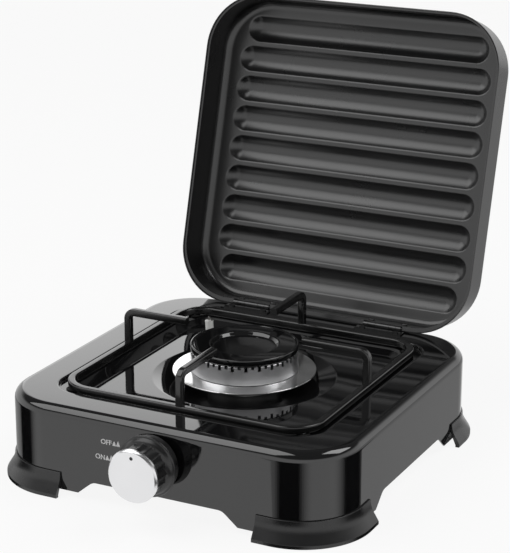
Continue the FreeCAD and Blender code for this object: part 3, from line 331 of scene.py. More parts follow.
def make_finish(name, dark, light, rough, rough_worn, grain, bump, patch=0.06, metal=0.0, ior=1.5, rings=None):
    """A material: two near colours, two roughnesses, grain size in metres and bump height in metres."""
    material = bpy.data.materials.new(name)
    material.use_nodes = True
    tree = material.node_tree
    tree.nodes.clear()
    out = tree.nodes.new("ShaderNodeOutputMaterial")
    shader = tree.nodes.new("ShaderNodeBsdfPrincipled")
    tree.links.new(shader.outputs[0], out.inputs[0])
    patches = add_node(tree, "ShaderNodeGroup", node_tree=SLOW_PATCHES)
    patches.inputs["Patch size"].default_value = patch
    texture = add_node(tree, "ShaderNodeGroup", node_tree=FINE_TEXTURE)
    texture.inputs["Grain size"].default_value = grain
    colour = add_node(tree, "ShaderNodeMix", data_type="RGBA")
    colour.inputs["A"].default_value = (*dark, 1.0)
    colour.inputs["B"].default_value = (*light, 1.0)
    tree.links.new(patches.outputs["Mask"], colour.inputs["Factor"])
    tree.links.new(colour.outputs["Result"], shader.inputs["Base Color"])
    roughness = add_node(tree, "ShaderNodeMapRange", {"Value": patches.outputs["Mask"], "To Min": rough,
                                                      "To Max": rough_worn})
    tree.links.new(roughness.outputs["Result"], shader.inputs["Roughness"])
    height = texture.outputs["Height"]
    if rings is not None:
        turned = add_node(tree, "ShaderNodeGroup", node_tree=TURNED_RINGS)
        turned.inputs["Centre"].default_value = rings[0]
        turned.inputs["Pitch"].default_value = rings[1]
        height = turned.outputs["Height"]
    bumps = add_node(tree, "ShaderNodeBump", {"Height": height, "Strength": 1.0, "Distance": bump})
    tree.links.new(bumps.outputs["Normal"], shader.inputs["Normal"])
    shader.inputs["Metallic"].default_value = metal
    shader.inputs["IOR"].default_value = ior
    MATERIALS[name] = material


def paint(piece, name):
    """Give a piece one finish all over."""
    piece.data.materials.clear()
    piece.data.materials.append(MATERIALS[name])


# %% The stove's finishes
BURNER_AXIS = (0.0, MIDDLE_Y, 0.0)
make_finish("gloss_black_enamel", (0.004, 0.004, 0.0042), (0.007, 0.007, 0.0075), 0.03, 0.055,
            0.006, 0.000003, patch=0.11, ior=1.72)
make_finish("satin_lid_enamel", (0.005, 0.005, 0.0052), (0.009, 0.009, 0.0095), 0.25, 0.31,
            0.0022, 0.000004, patch=0.12, ior=1.7)
make_finish("dipped_wire_enamel", (0.006, 0.006, 0.006), (0.011, 0.011, 0.011), 0.13, 0.2,
            0.0016, 0.000006, patch=0.03, ior=1.6)
make_finish("moulded_black_plastic", (0.010, 0.010, 0.0105), (0.014, 0.014, 0.0145), 0.24, 0.32,
            0.0007, 0.000005, patch=0.03, ior=1.55)
make_finish("polished_flange", (0.90, 0.90, 0.90), (0.95, 0.95, 0.95), 0.12, 0.2,
            0.001, 0.0000012, metal=1.0, rings=(BURNER_AXIS, 0.0006))
# The steel under the flange is duller, and its darker colour is painted shade under the flange.
make_finish("dull_steel_painted_shade", (0.16, 0.16, 0.16), (0.21, 0.21, 0.21), 0.45, 0.55, 0.0015, 0.000006, metal=1.0)
make_finish("turned_aluminium", (0.56, 0.56, 0.57), (0.66, 0.66, 0.67), 0.28, 0.38,
            0.001, 0.000005, metal=1.0, rings=(BURNER_AXIS, 0.0005))
make_finish("satin_metal_face", (0.80, 0.80, 0.81), (0.83, 0.83, 0.84), 0.24, 0.27,
            0.0004, 0.0000012, metal=1.0, patch=0.03)
make_finish("zinc_plate", (0.42, 0.42, 0.43), (0.55, 0.55, 0.56), 0.30, 0.42, 0.0008, 0.000008, metal=1.0)
make_finish("dark_spark_wire", (0.10, 0.10, 0.10), (0.16, 0.15, 0.14), 0.30, 0.42, 0.0008, 0.000008, metal=1.0)
make_finish("turned_brass", (0.62, 0.45, 0.19), (0.72, 0.54, 0.25), 0.22, 0.34, 0.0006, 0.000006, metal=1.0)
make_finish("soft_black_rubber", (0.008, 0.008, 0.008), (0.014, 0.014, 0.014), 0.6, 0.75, 0.0006, 0.00001)
make_finish("glazed_ceramic", (0.84, 0.84, 0.82), (0.90, 0.90, 0.88), 0.16, 0.26, 0.002, 0.000004)
make_finish("white_print", (0.82, 0.82, 0.82), (0.88, 0.88, 0.88), 0.35, 0.45, 0.0005, 0.000002)
print("finishes:", sorted(MATERIALS))

# %% [markdown]
# The pieces that the engineering model already shapes well, mostly under the deck, keep
# its meshes and only get a finish, by the material slot that the record names for them.

# %% Finishes for the pieces that stay as they are
SLOT_FINISH = {
    "black_enamel": "gloss_black_enamel", "black_wire_enamel": "dipped_wire_enamel",
    "black_plastic": "moulded_black_plastic", "bright_plastic": "satin_metal_face",
    "bright_steel": "polished_flange", "cast_aluminium": "turned_aluminium",
    "zinc_steel": "zinc_plate", "brass": "turned_brass",
    "black_rubber": "soft_black_rubber", "white_ceramic": "glazed_ceramic",
}
NODE_FINISH = {"electrode_wire": "dark_spark_wire"}
for entry in frame["record"]["subparts"]:
    node = frame["nodes"].get(entry["node"])
    if node is not None:
        paint(node, NODE_FINISH.get(entry["node"], SLOT_FINISH[entry["material_slot"]]))

# %% [markdown]
# The casing is one steel sheet pressed in a single deep draw: a tall skirt, a rounded
# rim, the flat deck, a ledge for the pan support, a sloping wall and a shallow dish that
# leads spills away from the burner. Outlines are stacked in that order. The sheet then
# gets its thickness, its pressed creases are softened, and the arches and holes are cut.

# %% Sizes of the pressed casing, in millimetres
BODY_WIDTH, BODY_DEPTH, BODY_CORNER = 290.0, 286.0, 48.0
DECK_TOP, RIM_FILLET, SHEET = 71.0, 8.0, 1.0
SKIRT_BOTTOM = 5.0
LEDGE = (228.0, 221.0, 23.0, 68.0)
WELL_TOP = (206.0, 204.0, 21.0, 68.0)
WELL_FLOOR = (184.0, 182.0, 10.0, 63.5)
DISH_RADIUS, DISH_FLOOR, DISH_FLOOR_RADIUS, BURNER_HOLE = 72.5, 57.5, 37.0, 31.0
FILLET_STEPS = 8


def fillet_outlines(width, depth, corner, top, radius):
    """Outlines up a rounded rim, from the wall to the top."""
    found = []
    for step in range(FILLET_STEPS + 1):
        turn = math.radians(90.0 * step / FILLET_STEPS)
        inset = radius * (1 - math.cos(turn))
        found.append(rectangle(width - 2 * inset, depth - 2 * inset, corner - inset,
                               top - radius + radius * math.sin(turn)))
    return found


# %% Bridge the casing's outlines
casing = new_piece("pressed_casing")
bridge_outlines(
    [rectangle(BODY_WIDTH, BODY_DEPTH, BODY_CORNER, SKIRT_BOTTOM)]
    + fillet_outlines(BODY_WIDTH, BODY_DEPTH, BODY_CORNER, DECK_TOP, RIM_FILLET)
    + [rectangle(LEDGE[0] + 4, LEDGE[1] + 4, LEDGE[2] + 2, DECK_TOP),
       rectangle(*LEDGE[:3], DECK_TOP), rectangle(*LEDGE), rectangle(*WELL_TOP), rectangle(*WELL_FLOOR),
       round_(DISH_RADIUS + 1.5, WELL_FLOOR[3]), round_(DISH_RADIUS, WELL_FLOOR[3]),
       round_(DISH_FLOOR_RADIUS, DISH_FLOOR), round_(BURNER_HOLE, DISH_FLOOR)])
close_piece()
soften_edges(casing, 1.1, angle=15.0)
add_modifier(casing, "SOLIDIFY", thickness=SHEET * MM, offset=-1.0, use_even_offset=True)


# %% Cut the arches and the holes
def prism(name, points, place, length_vector):
    """A straight cutter: a closed outline in millimetres, extruded."""
    piece = new_piece(name)
    mesh = edit_mesh()
    mesh.faces.new([mesh.verts.new(Vector(place(a, b)) * MM) for a, b in points])
    bmesh.update_edit_mesh(piece.data)
    bpy.ops.mesh.select_all(action="SELECT")
    bpy.ops.mesh.extrude_region_move(TRANSFORM_OT_translate={"value": Vector(length_vector) * MM})
    close_piece(upwards=False)
    return piece


def arc_points(centre, radius, first, last, steps=6):
    """Points along an arc, angles in degrees."""
    return [(centre[0] + radius * math.cos(math.radians(first + (last - first) * k / steps)),
             centre[1] + radius * math.sin(math.radians(first + (last - first) * k / steps)))
            for k in range(steps + 1)]


def arch_outline():
    """Half of the arch is drawn and mirrored: flat top, rounded shoulder, slanting side."""
    half_width, run, height, low = 55.0, 13.0, 15.8, -6.0
    slant = math.degrees(math.atan2(height - SKIRT_BOTTOM, run))
    radius = 9.0
    back = radius * math.tan(math.radians(slant / 2))
    shoulder = arc_points((half_width - back, height - radius), radius, 90, 90 - slant)
    side = [(half_width + run + (SKIRT_BOTTOM - low) / math.tan(math.radians(slant)), low)]
    right = shoulder + side
    return right + [(-a, b) for a, b in reversed(right)]


middle_y = MIDDLE_Y / MM
cut_with(casing, prism("arch_front_rear", arch_outline(), lambda a, b: (a, middle_y - 160, b), (0, 320, 0)))
cut_with(casing, prism("arch_sides", arch_outline(), lambda a, b: (-160, middle_y + a, b), (320, 0, 0)))
GAS_AXIS, INLET_X, SCREW_X = 45.0, -86.0, 14.0
SPINDLE_HOLE, SCREW_HOLE, INLET_HOLE = 8.0, 2.05, 6.15          # radii
SEAT_HOLE, RIVET_HOLE, ELECTRODE_HOLE = 3.75, 1.75, 4.0


def drill(piece, radius, middle, along, points=32):
    """Cut a round hole through a piece, centred at a place in millimetres and along a direction."""
    bpy.ops.object.select_all(action="DESELECT")
    bpy.ops.mesh.primitive_cylinder_add(vertices=points, radius=radius * MM, depth=Vector(along).length * MM)
    cutter = bpy.context.object
    place = Vector((middle[0], middle[1] + middle_y, middle[2])) * MM
    cutter.data.transform(Matrix.Translation(place) @ Vector(along).to_track_quat("Z", "Y").to_matrix().to_4x4())
    cut_with(piece, cutter)


for x, y, radius in ((0.0, -BODY_DEPTH / 2, SPINDLE_HOLE), (-SCREW_X, -BODY_DEPTH / 2, SCREW_HOLE),
                     (SCREW_X, -BODY_DEPTH / 2, SCREW_HOLE), (INLET_X, BODY_DEPTH / 2, INLET_HOLE)):
    drill(casing, radius, (x, y, GAS_AXIS), (0, 8, 0), 48)

# %% Holes in the deck: the support's rubber seats, the hinges' rivets and the spark electrode
SEAT_X, SEAT_Y = 98.97, 97.97
RIVET_X, RIVET_Y = (-76.5, -46.5, 46.5, 76.5), 124.75
ELECTRODE_BASE, ELECTRODE_AXIS = (-49.03, 35.62, 61.49), Vector((-0.1126, 0.0818, 0.9903))
for x in (-SEAT_X, SEAT_X):
    for y in (-SEAT_Y, SEAT_Y):
        drill(casing, SEAT_HOLE, (x, y, LEDGE[3]), (0, 0, 6))
for x in RIVET_X:
    drill(casing, RIVET_HOLE, (x, RIVET_Y, DECK_TOP), (0, 0, 6), 20)
drill(casing, ELECTRODE_HOLE, ELECTRODE_BASE, ELECTRODE_AXIS * 12)

# %% Tabs inside the skirt's corners, which take the feet's screws
CORNER_X, CORNER_Y = BODY_WIDTH / 2 - BODY_CORNER, BODY_DEPTH / 2 - BODY_CORNER
TAB_ANGLE, TAB_OUTER, TAB_INNER, SCREW_RADIUS = 52.0, BODY_CORNER - 0.5, 35.8, 41.0
tabs = []
for sx, sy, facing in ((1, 1, 45), (-1, 1, 135), (-1, -1, 225), (1, -1, 315)):
    centre = (sx * CORNER_X, sy * CORNER_Y)
    ends = (facing - TAB_ANGLE / 2, facing + TAB_ANGLE / 2)
    outline = arc_points(centre, TAB_OUTER, *ends, 12) + arc_points(centre, TAB_INNER, *reversed(ends), 12)
    tab = prism("tab", outline, lambda a, b: (a, middle_y + b, SKIRT_BOTTOM), (0, 0, SHEET))
    turn = math.radians(facing)
    screw = (centre[0] + SCREW_RADIUS * math.cos(turn), centre[1] + SCREW_RADIUS * math.sin(turn), SKIRT_BOTTOM)
    drill(tab, SCREW_HOLE, screw, (0, 0, 6), 20)
    tabs.append(tab)
bpy.ops.object.select_all(action="DESELECT")
for tab in tabs:
    tab.select_set(True)
casing.select_set(True)
bpy.context.view_layer.objects.active = casing
bpy.ops.object.join()
shade(casing)
paint(casing, "gloss_black_enamel")
seat(casing, "base", "black_enamel", "casing")

# %% [markdown]
# The lid is a deep tray with nine channels pressed outwards, so from the front they show
# as grooves. Each channel is a plane with fully rounded ends, inset again and again while
# it is lifted along a circular section, as a rounded punch would leave it. The flat
# between the channels is then filled in one go, with the channels' outlines as holes.

# %% Sizes of the lid, in millimetres, with the lid closed
LID_WIDTH, LID_DEPTH, LID_CORNER, LID_SHEET, LID_FILLET = 266.0, 262.0, 46.0, 0.8, 7.0
LID_RIM = DECK_TOP + 0.3
LID_PANEL = LID_RIM + 34.0 + LID_SHEET
HEM, REAR_HEM, HEM_HEIGHT, HEM_EASE = 1.6, 3.4, 2.6, 0.7
CHANNELS, CHANNEL_PITCH, CHANNEL_WIDTH, CHANNEL_DEPTH = 9, 26.4, 22.2, 5.2
CHANNEL_REACH, OUTER_CHANNEL_REACH = 117.0, 112.0
ROUNDING = 1.8
OPEN_ANGLE = math.radians(-105.5)
PIVOT = Vector([j for j in frame["joints"] if j["name"] == "lid_hinge"][0]["pos_m"])
OPENED = Matrix.Translation(PIVOT) @ Matrix.Rotation(OPEN_ANGLE, 4, "X") @ Matrix.Translation(-PIVOT)


def channel_section():
    """Insets and heights of the channel's outer skin: a small rounding, then the wide arc."""
    inner_bow = (CHANNEL_WIDTH ** 2 / 4 + CHANNEL_DEPTH ** 2) / (2 * CHANNEL_DEPTH)
    bow = inner_bow + LID_SHEET
    half = math.sqrt(bow ** 2 - (bow - CHANNEL_DEPTH) ** 2)
    edge = math.asin(half / bow)
    run = ROUNDING * math.tan(edge / 2)
    section = [(ROUNDING * math.sin(edge * k / 4), ROUNDING * (1 - math.cos(edge * k / 4))) for k in range(5)]
    for k in range(1, 9):
        turn = edge - (edge - section_end(edge, bow)) * k / 8
        section.append((run + half - bow * math.sin(turn), CHANNEL_DEPTH - bow + bow * math.cos(turn)))
    return section, run + half


def section_end(edge, bow):
    """The arc stops just short of the channel's middle, so that the last strip keeps a width."""
    return math.asin(0.4 / bow)


CHANNEL_STEPS = 12
CHANNEL_POINTS = 4 * (CHANNEL_STEPS + 1)


def press_channel(y, reach, copies):
    """Press one channel, outline by outline, close its bottom and repeat it along the panel."""
    section, half = channel_section()
    start = len(edit_mesh().verts)
    length = reach + half - CHANNEL_WIDTH / 2
    outlines = [lambda a=a, b=b: rounded_outline(2 * (length - a) * MM, 2 * (half - a) * MM, (half - a) * MM,
                                                 (LID_PANEL + b) * MM, (0.0, y * MM), CHANNEL_STEPS)
                for a, b in section]
    bridge_outlines(outlines, points=CHANNEL_POINTS)
    last = start + (len(section) - 1) * CHANNEL_POINTS
    select_points(lambda v: v.index >= last)
    bpy.ops.mesh.edge_face_add()
    select_points(lambda v: v.index >= start)
    for step in copies:
        bpy.ops.mesh.duplicate_move(TRANSFORM_OT_translate={"value": (0, step * CHANNEL_PITCH * MM, 0)})


# %% Bridge the tray, press the channels and fill the panel
def hem(ease, z):
    """The rolled hem's outline, which stands out further at the rear, where the hinges are."""
    return rectangle(LID_WIDTH + 2 * HEM - 2 * ease, LID_DEPTH + HEM + REAR_HEM - 2 * ease,
                     LID_CORNER + HEM - ease, z, (0.0, (REAR_HEM - HEM) / 2))


lid = new_piece("ribbed_lid")
bridge_outlines(
    [hem(HEM_EASE, LID_RIM), hem(0.0, LID_RIM + HEM_EASE / 2), hem(0.0, LID_RIM + HEM_HEIGHT - 0.4),
     rectangle(LID_WIDTH, LID_DEPTH, LID_CORNER, LID_RIM + HEM_HEIGHT)]
    + fillet_outlines(LID_WIDTH, LID_DEPTH, LID_CORNER, LID_PANEL, LID_FILLET)
    + [rectangle(LID_WIDTH - 2 * LID_FILLET - 2, LID_DEPTH - 2 * LID_FILLET - 2, LID_CORNER - LID_FILLET - 1,
                 LID_PANEL)])
outer_place = (CHANNELS - 1) / 2 * CHANNEL_PITCH
press_channel(-outer_place, OUTER_CHANNEL_REACH, copies=[CHANNELS - 1])
press_channel(-outer_place + CHANNEL_PITCH, CHANNEL_REACH, copies=[1] * (CHANNELS - 3))
bpy.ops.mesh.select_mode(type="EDGE")
bpy.ops.mesh.select_all(action="DESELECT")
tray = edit_mesh()
for edge in tray.edges:
    flat = all(abs(v.co.z - LID_PANEL * MM) < 1e-6 for v in edge.verts)
    edge.select = flat and edge.is_boundary
tray.select_flush_mode()
bmesh.update_edit_mesh(lid.data)
bpy.ops.mesh.fill(use_beauty=False)
close_piece()
add_modifier(lid, "SOLIDIFY", thickness=LID_SHEET * MM, offset=-1.0, use_even_offset=True)

# %% Notches for the hinges, then open the lid
NOTCH_HALF, NOTCH_HEIGHT, HINGE_X = 17.6, 6.5, 61.5
for side in (-1, 1):
    low, high = LID_RIM - 2, LID_RIM + NOTCH_HEIGHT
    corners = [(side * HINGE_X - NOTCH_HALF, low), (side * HINGE_X + NOTCH_HALF, low),
               (side * HINGE_X + NOTCH_HALF, high), (side * HINGE_X - NOTCH_HALF, high)]
    cut_with(lid, prism("notch", corners, lambda a, b: (a, middle_y + LID_DEPTH / 2 - 5, b), (0, 10, 0)))
lid.data.transform(OPENED)
shade(lid)
paint(lid, "satin_lid_enamel")
seat(lid, "lid_body", "black_enamel", "lid")

# %% [markdown]
# The pan support is square bar, bent to a frame and dipped in enamel. Its section has
# eased corners. The frame is that section's points, each drawn as a whole outline round
# the frame and bridged to the next. A finger is the same section, extruded up, spun
# through a quarter turn and extruded in over the burner.

# %% Sizes of the pan support, in millimetres
BAR, BAR_EASE = 6.0, 1.3
FRAME_WIDTH, FRAME_DEPTH, FRAME_CORNER, FRAME_BOTTOM = 218.0, 216.0, 27.0, 69.0
FINGER_TOP, FINGER_BEND, FINGER_TIP = 103.6, 9.0, 51.5


def bar_section(steps=3):
    """Points round the bar's section: distance in from the outside, and height."""
    found = []
    for corner, start in (((BAR_EASE, BAR_EASE), 180), ((BAR - BAR_EASE, BAR_EASE), 270),
                          ((BAR - BAR_EASE, BAR - BAR_EASE), 0), ((BAR_EASE, BAR - BAR_EASE), 90)):
        found += arc_points(corner, BAR_EASE, start, start + 90, steps)
    return found


# %% The frame
support = new_piece("pan_support_frame")
bridge_outlines([rectangle(FRAME_WIDTH - 2 * a, FRAME_DEPTH - 2 * a, FRAME_CORNER - a, FRAME_BOTTOM + b)
                 for a, b in bar_section()], closed=True)
close_piece()
shade(support)
paint(support, "dipped_wire_enamel")
seat(support, "pan_support", "black_wire_enamel", "pan_frame")


# %% The four fingers
def finger(name, turn, base):
    """A finger that stands on the frame at this distance from the middle, turned about the burner."""
    piece = new_piece(name)
    foot = FRAME_BOTTOM + BAR
    bend = FINGER_BEND - BAR / 2
    at = Vector((0.0, -base, foot)) * MM
    bpy.ops.mesh.primitive_plane_add(size=BAR * MM, location=at)
    bpy.ops.mesh.bevel(offset=BAR_EASE * MM, segments=3, affect="VERTICES")
    straight = FINGER_TOP - BAR / 2 - bend - foot
    bpy.ops.mesh.extrude_region_move(TRANSFORM_OT_translate={"value": (0, 0, straight * MM)})
    centre = Vector((0.0, -base + bend, foot + straight)) * MM
    bpy.ops.mesh.spin(steps=10, angle=math.radians(90), center=centre, axis=(1, 0, 0))
    bpy.ops.mesh.extrude_region_move(
        TRANSFORM_OT_translate={"value": (0, (base - bend - FINGER_TIP) * MM, 0)})
    close_piece(upwards=False)
    piece.data.transform(Matrix.Translation((0, MIDDLE_Y, 0)) @ Matrix.Rotation(turn, 4, "Z"))
    shade(piece)
    paint(piece, "dipped_wire_enamel")
    return piece


FINGERS = (("front", 0.0, FRAME_DEPTH), ("right", math.pi / 2, FRAME_WIDTH),
           ("rear", math.pi, FRAME_DEPTH), ("left", -math.pi / 2, FRAME_WIDTH))
for side, turn, across in FINGERS:
    seat(finger("support_finger_" + side, turn, across / 2 - BAR / 2), "pan_support", "black_wire_enamel",
         "pan_finger_" + side)

# %% [markdown]
# The burner is turned metal: a polished flange that dips to a bowl, an aluminium head
# with flame slots cut round its rim, and an enamelled cap with a rolled edge. Turned
# pieces are stacks of circles. Long and short slots take turns: each is one block, copied
# round by spinning it, and all of them cut the head at once.

# %% A helper for turned pieces
TURN_POINTS = 160


def circle_outline(radius, z, points=TURN_POINTS):
    bpy.ops.mesh.select_all(action="DESELECT")
    bpy.ops.mesh.primitive_circle_add(vertices=points, radius=radius * MM, location=(0, MIDDLE_Y, z * MM))


def turned(name, profile, closed=True, points=TURN_POINTS, soften=0.0, angle=25.0):
    """Bridge circles of (radius, height), in millimetres; a closed profile comes back to its start."""
    piece = new_piece(name)
    bridge_outlines([lambda r=r, z=z: circle_outline(r, z, points) for r, z in profile], closed, points)
    if not closed:
        last = len(profile) - 1
        for ring in (0, last):
            select_points(lambda v: ring * points <= v.index < (ring + 1) * points)
            bpy.ops.mesh.edge_face_add()
    close_piece(upwards=False)
    if soften:
        soften_edges(piece, soften, angle)
    return piece


# %% Flange and bowl
FLANGE_TOP, FLANGE_RADIUS, BOWL_RADIUS, BOWL_BOTTOM = 70.3, 57.2, 27.0, 34.0
bowl = turned("burner_flange_and_bowl", [
    (6.0, BOWL_BOTTOM), (24.0, BOWL_BOTTOM), (BOWL_RADIUS, BOWL_BOTTOM + 6), (27.8, 66.1), (54.2, 67.5),
    (56.4, 68.0), (FLANGE_RADIUS, 68.7), (FLANGE_RADIUS, 69.6), (43.5, FLANGE_TOP), (38.0, FLANGE_TOP),
    (38.0, 67.9), (24.8, 65.5), (24.8, 40.2), (19.8, 36.2), (6.0, 36.2)], closed=False, soften=0.7)
shade(bowl)
paint(bowl, "polished_flange")
# Faces below the flange top and beyond the bowl get that darker steel: painted shade on the underside.
bowl.data.materials.append(MATERIALS["dull_steel_painted_shade"])
for polygon in bowl.data.polygons:
    from_axis = (polygon.center.xy - Vector((0, MIDDLE_Y))).length
    polygon.material_index = int(polygon.center.z < (FLANGE_TOP - 1.0) * MM and from_axis > BOWL_RADIUS * MM)
seat(bowl, "base", "bright_steel", "burner_bowl")

# %% Toothed head
HEAD_BOTTOM, HEAD_TOP, HEAD_RADIUS, HEAD_FOOT, HEAD_WALL = 70.6, 85.6, 42.3, 43.2, 4.0
STEP_Z, SPIGOT_IN, SPIGOT_OUT, SPIGOT_END = 81.4, 35.9, 37.55, 68.8
head = turned("toothed_burner_head", [
    (SPIGOT_OUT, HEAD_BOTTOM), (HEAD_FOOT - 0.3, HEAD_BOTTOM), (HEAD_FOOT, HEAD_BOTTOM + 0.3),
    (42.7, HEAD_BOTTOM + 3.4), (HEAD_RADIUS, HEAD_BOTTOM + 7.4), (HEAD_RADIUS, HEAD_TOP - 0.4),
    (HEAD_RADIUS - 0.4, HEAD_TOP), (HEAD_RADIUS - HEAD_WALL, HEAD_TOP), (HEAD_RADIUS - HEAD_WALL, STEP_Z),
    (SPIGOT_IN, STEP_Z), (SPIGOT_IN, SPIGOT_END), (SPIGOT_OUT, SPIGOT_END)])
PORT_PAIRS, PORT_LENGTH, PORT_WIDTH, LONG_PORT, SHORT_PORT, PORT_OVERRUN = 25, 10.0, 2.4, 3.9, 2.1, 2.0
slots = new_piece("slot_cutter")
for depth, turn in ((LONG_PORT, 0.0), (SHORT_PORT, math.pi / PORT_PAIRS)):
    bpy.ops.mesh.select_all(action="DESELECT")
    tall = depth + PORT_OVERRUN
    at = Matrix.Rotation(turn, 4, "Z") @ Vector((0, -HEAD_RADIUS * MM, 0)) + Vector(
        (0, MIDDLE_Y, (HEAD_TOP + PORT_OVERRUN - tall / 2) * MM))
    bpy.ops.mesh.primitive_cube_add(size=1.0, location=at, rotation=(0, 0, turn + math.pi / 2),
                                    scale=(PORT_LENGTH * MM, PORT_WIDTH * MM, tall * MM))
    bpy.ops.mesh.spin(steps=PORT_PAIRS - 1, angle=2 * math.pi * (PORT_PAIRS - 1) / PORT_PAIRS, dupli=True,
                      center=(0, MIDDLE_Y, 0), axis=(0, 0, 1))
close_piece(upwards=False)
cut_with(head, slots)
shade(head, 28.0)
paint(head, "turned_aluminium")
seat(head, "head", "cast_aluminium", "burner_head")

# %% Cap
CAP_BOTTOM, CAP_RADIUS = 85.9, 43.0
CAP_TOP = CAP_BOTTOM + 5.6
cap = turned("burner_cap_enamelled", [
    (4.0, CAP_BOTTOM), (34.7, CAP_BOTTOM), (34.7, 83.9), (38.0, 83.9), (38.0, CAP_BOTTOM), (41.6, CAP_BOTTOM),
    (42.6, CAP_BOTTOM + 0.5), (CAP_RADIUS, CAP_TOP - 1.4), (42.7, CAP_TOP - 0.3), (41.9, CAP_TOP),
    (41.2, CAP_TOP - 0.2), (40.4, CAP_TOP - 0.75), (28.4, CAP_TOP - 0.5), (27.0, CAP_TOP - 0.9),
    (25.2, CAP_TOP - 3.2), (22.0, CAP_TOP - 3.4), (4.0, CAP_TOP - 3.35)], closed=False, soften=0.35)
shade(cap)
paint(cap, "gloss_black_enamel")
seat(cap, "cap", "black_enamel", "burner_cap")

# %% [markdown]
# The knob is one moulding: a low hollow skirt, and a grip with scalloped sides. A bright
# plate is snapped on its front. Both are turned upright first, where circles are easy to
# stack, then laid on the knob's axis. The scallops are the grip's own points, drawn in
# towards the axis in a smooth wave, so no cutter is needed.

# %% Sizes of the knob, in millimetres, measured out from the casing
GRIP_RADIUS, GRIP_START, GRIP_END = 19.4, 17.3, 31.2
SCALLOPS, SCALLOP_DEPTH = 16, 0.95
KNOB_POINTS = 160
LAID = (Matrix.Translation(Vector((0, middle_y - BODY_DEPTH / 2, GAS_AXIS)) * MM)
        @ Matrix.Rotation(math.pi / 2, 4, "X") @ Matrix.Translation((0, -MIDDLE_Y, 0)))

# %% Skirt and scalloped grip
knob = turned("knob_skirt_and_grip", [
    (3.2, 5.6), (6.0, 5.6), (6.0, 11.6), (19.4, 11.6), (20.0, 4.6), (21.8, 4.6), (22.1, 5.0), (23.7, 11.4),
    (24.0, 12.4), (23.9, 13.1), (23.4, 13.6), (22.7, 13.7), (22.2, 14.1), (21.7, 15.2), (20.7, 16.2), (19.9, 16.6),
    (GRIP_RADIUS + 0.1, 16.8), (GRIP_RADIUS, GRIP_START), (GRIP_RADIUS, GRIP_END - 0.4),
    (GRIP_RADIUS - 0.3, GRIP_END), (3.2, GRIP_END)], points=KNOB_POINTS)
per_scallop = KNOB_POINTS // SCALLOPS
bpy.ops.object.mode_set(mode="EDIT")


def on_grip(vert, step):
    """Whether a point is on the grip's side, at this place within its scallop."""
    x, y = vert.co.x, vert.co.y - MIDDLE_Y
    around = round(math.atan2(y, x) / (2 * math.pi) * KNOB_POINTS)
    far = math.hypot(x, y) > (GRIP_RADIUS - 2) * MM
    return far and vert.co.z > (GRIP_START - 0.1) * MM and around % per_scallop == step


for step in range(per_scallop):
    wave = 0.5 - 0.5 * math.cos(2 * math.pi * step / per_scallop)
    share = 1 - SCALLOP_DEPTH * wave ** 0.7 / GRIP_RADIUS
    select_points(lambda v: on_grip(v, step))
    bpy.ops.transform.resize(value=(share, share, 1.0), center_override=(0, MIDDLE_Y, 0))
bpy.ops.object.mode_set(mode="OBJECT")
knob.data.transform(LAID)
shade(knob, 38.0)
paint(knob, "moulded_black_plastic")
seat(knob, "knob", "black_plastic", "knob_body")

# %% Bright plate with its index dot
FACE_RADIUS, FACE_FRONT = 20.6, 35.0
DOT_RADIUS, DOT_OFFSET, DOT_DEPTH = 1.4, 14.5, 0.5
face = turned("knob_bright_plate", [
    (2.0, GRIP_END), (FACE_RADIUS - 0.4, GRIP_END), (FACE_RADIUS, GRIP_END + 0.4), (FACE_RADIUS, FACE_FRONT - 1.7),
    (FACE_RADIUS - 0.25, FACE_FRONT - 1.2), (FACE_RADIUS - 1.0, FACE_FRONT - 0.35),
    (FACE_RADIUS - 1.5, FACE_FRONT - 0.06), (FACE_RADIUS - 2.2, FACE_FRONT), (2.0, FACE_FRONT)],
    closed=False, points=KNOB_POINTS)
drill(face, DOT_RADIUS, (0, DOT_OFFSET, FACE_FRONT), (0, 0, 2 * DOT_DEPTH), 32)
paint(face, "satin_metal_face")
face.data.materials.append(MATERIALS["moulded_black_plastic"])
dot = Vector((0, MIDDLE_Y + DOT_OFFSET * MM))
for polygon in face.data.polygons:
    in_dot = (polygon.center.xy - dot).length < (DOT_RADIUS + 0.05) * MM
    polygon.material_index = int(in_dot and polygon.center.z < (FACE_FRONT - 0.01) * MM and
                                 polygon.center.z > (FACE_FRONT - 2) * MM)
face.data.transform(LAID)
shade(face, 25.0)
seat(face, "knob", "bright_plastic", "knob_face")

# %% [markdown]
# The words beside the knob are screen printed: a thin film of white ink. Each word is a
# text curve with a hair's thickness, made a mesh and then stood up on the casing's front.
# The two small flames after each word are plain triangles, one low and one tall.

# %% Printed marks
FRONT_FACE = middle_y - BODY_DEPTH / 2
INK = 0.06
STAND_UP = Matrix.Rotation(math.pi / 2, 4, "X")


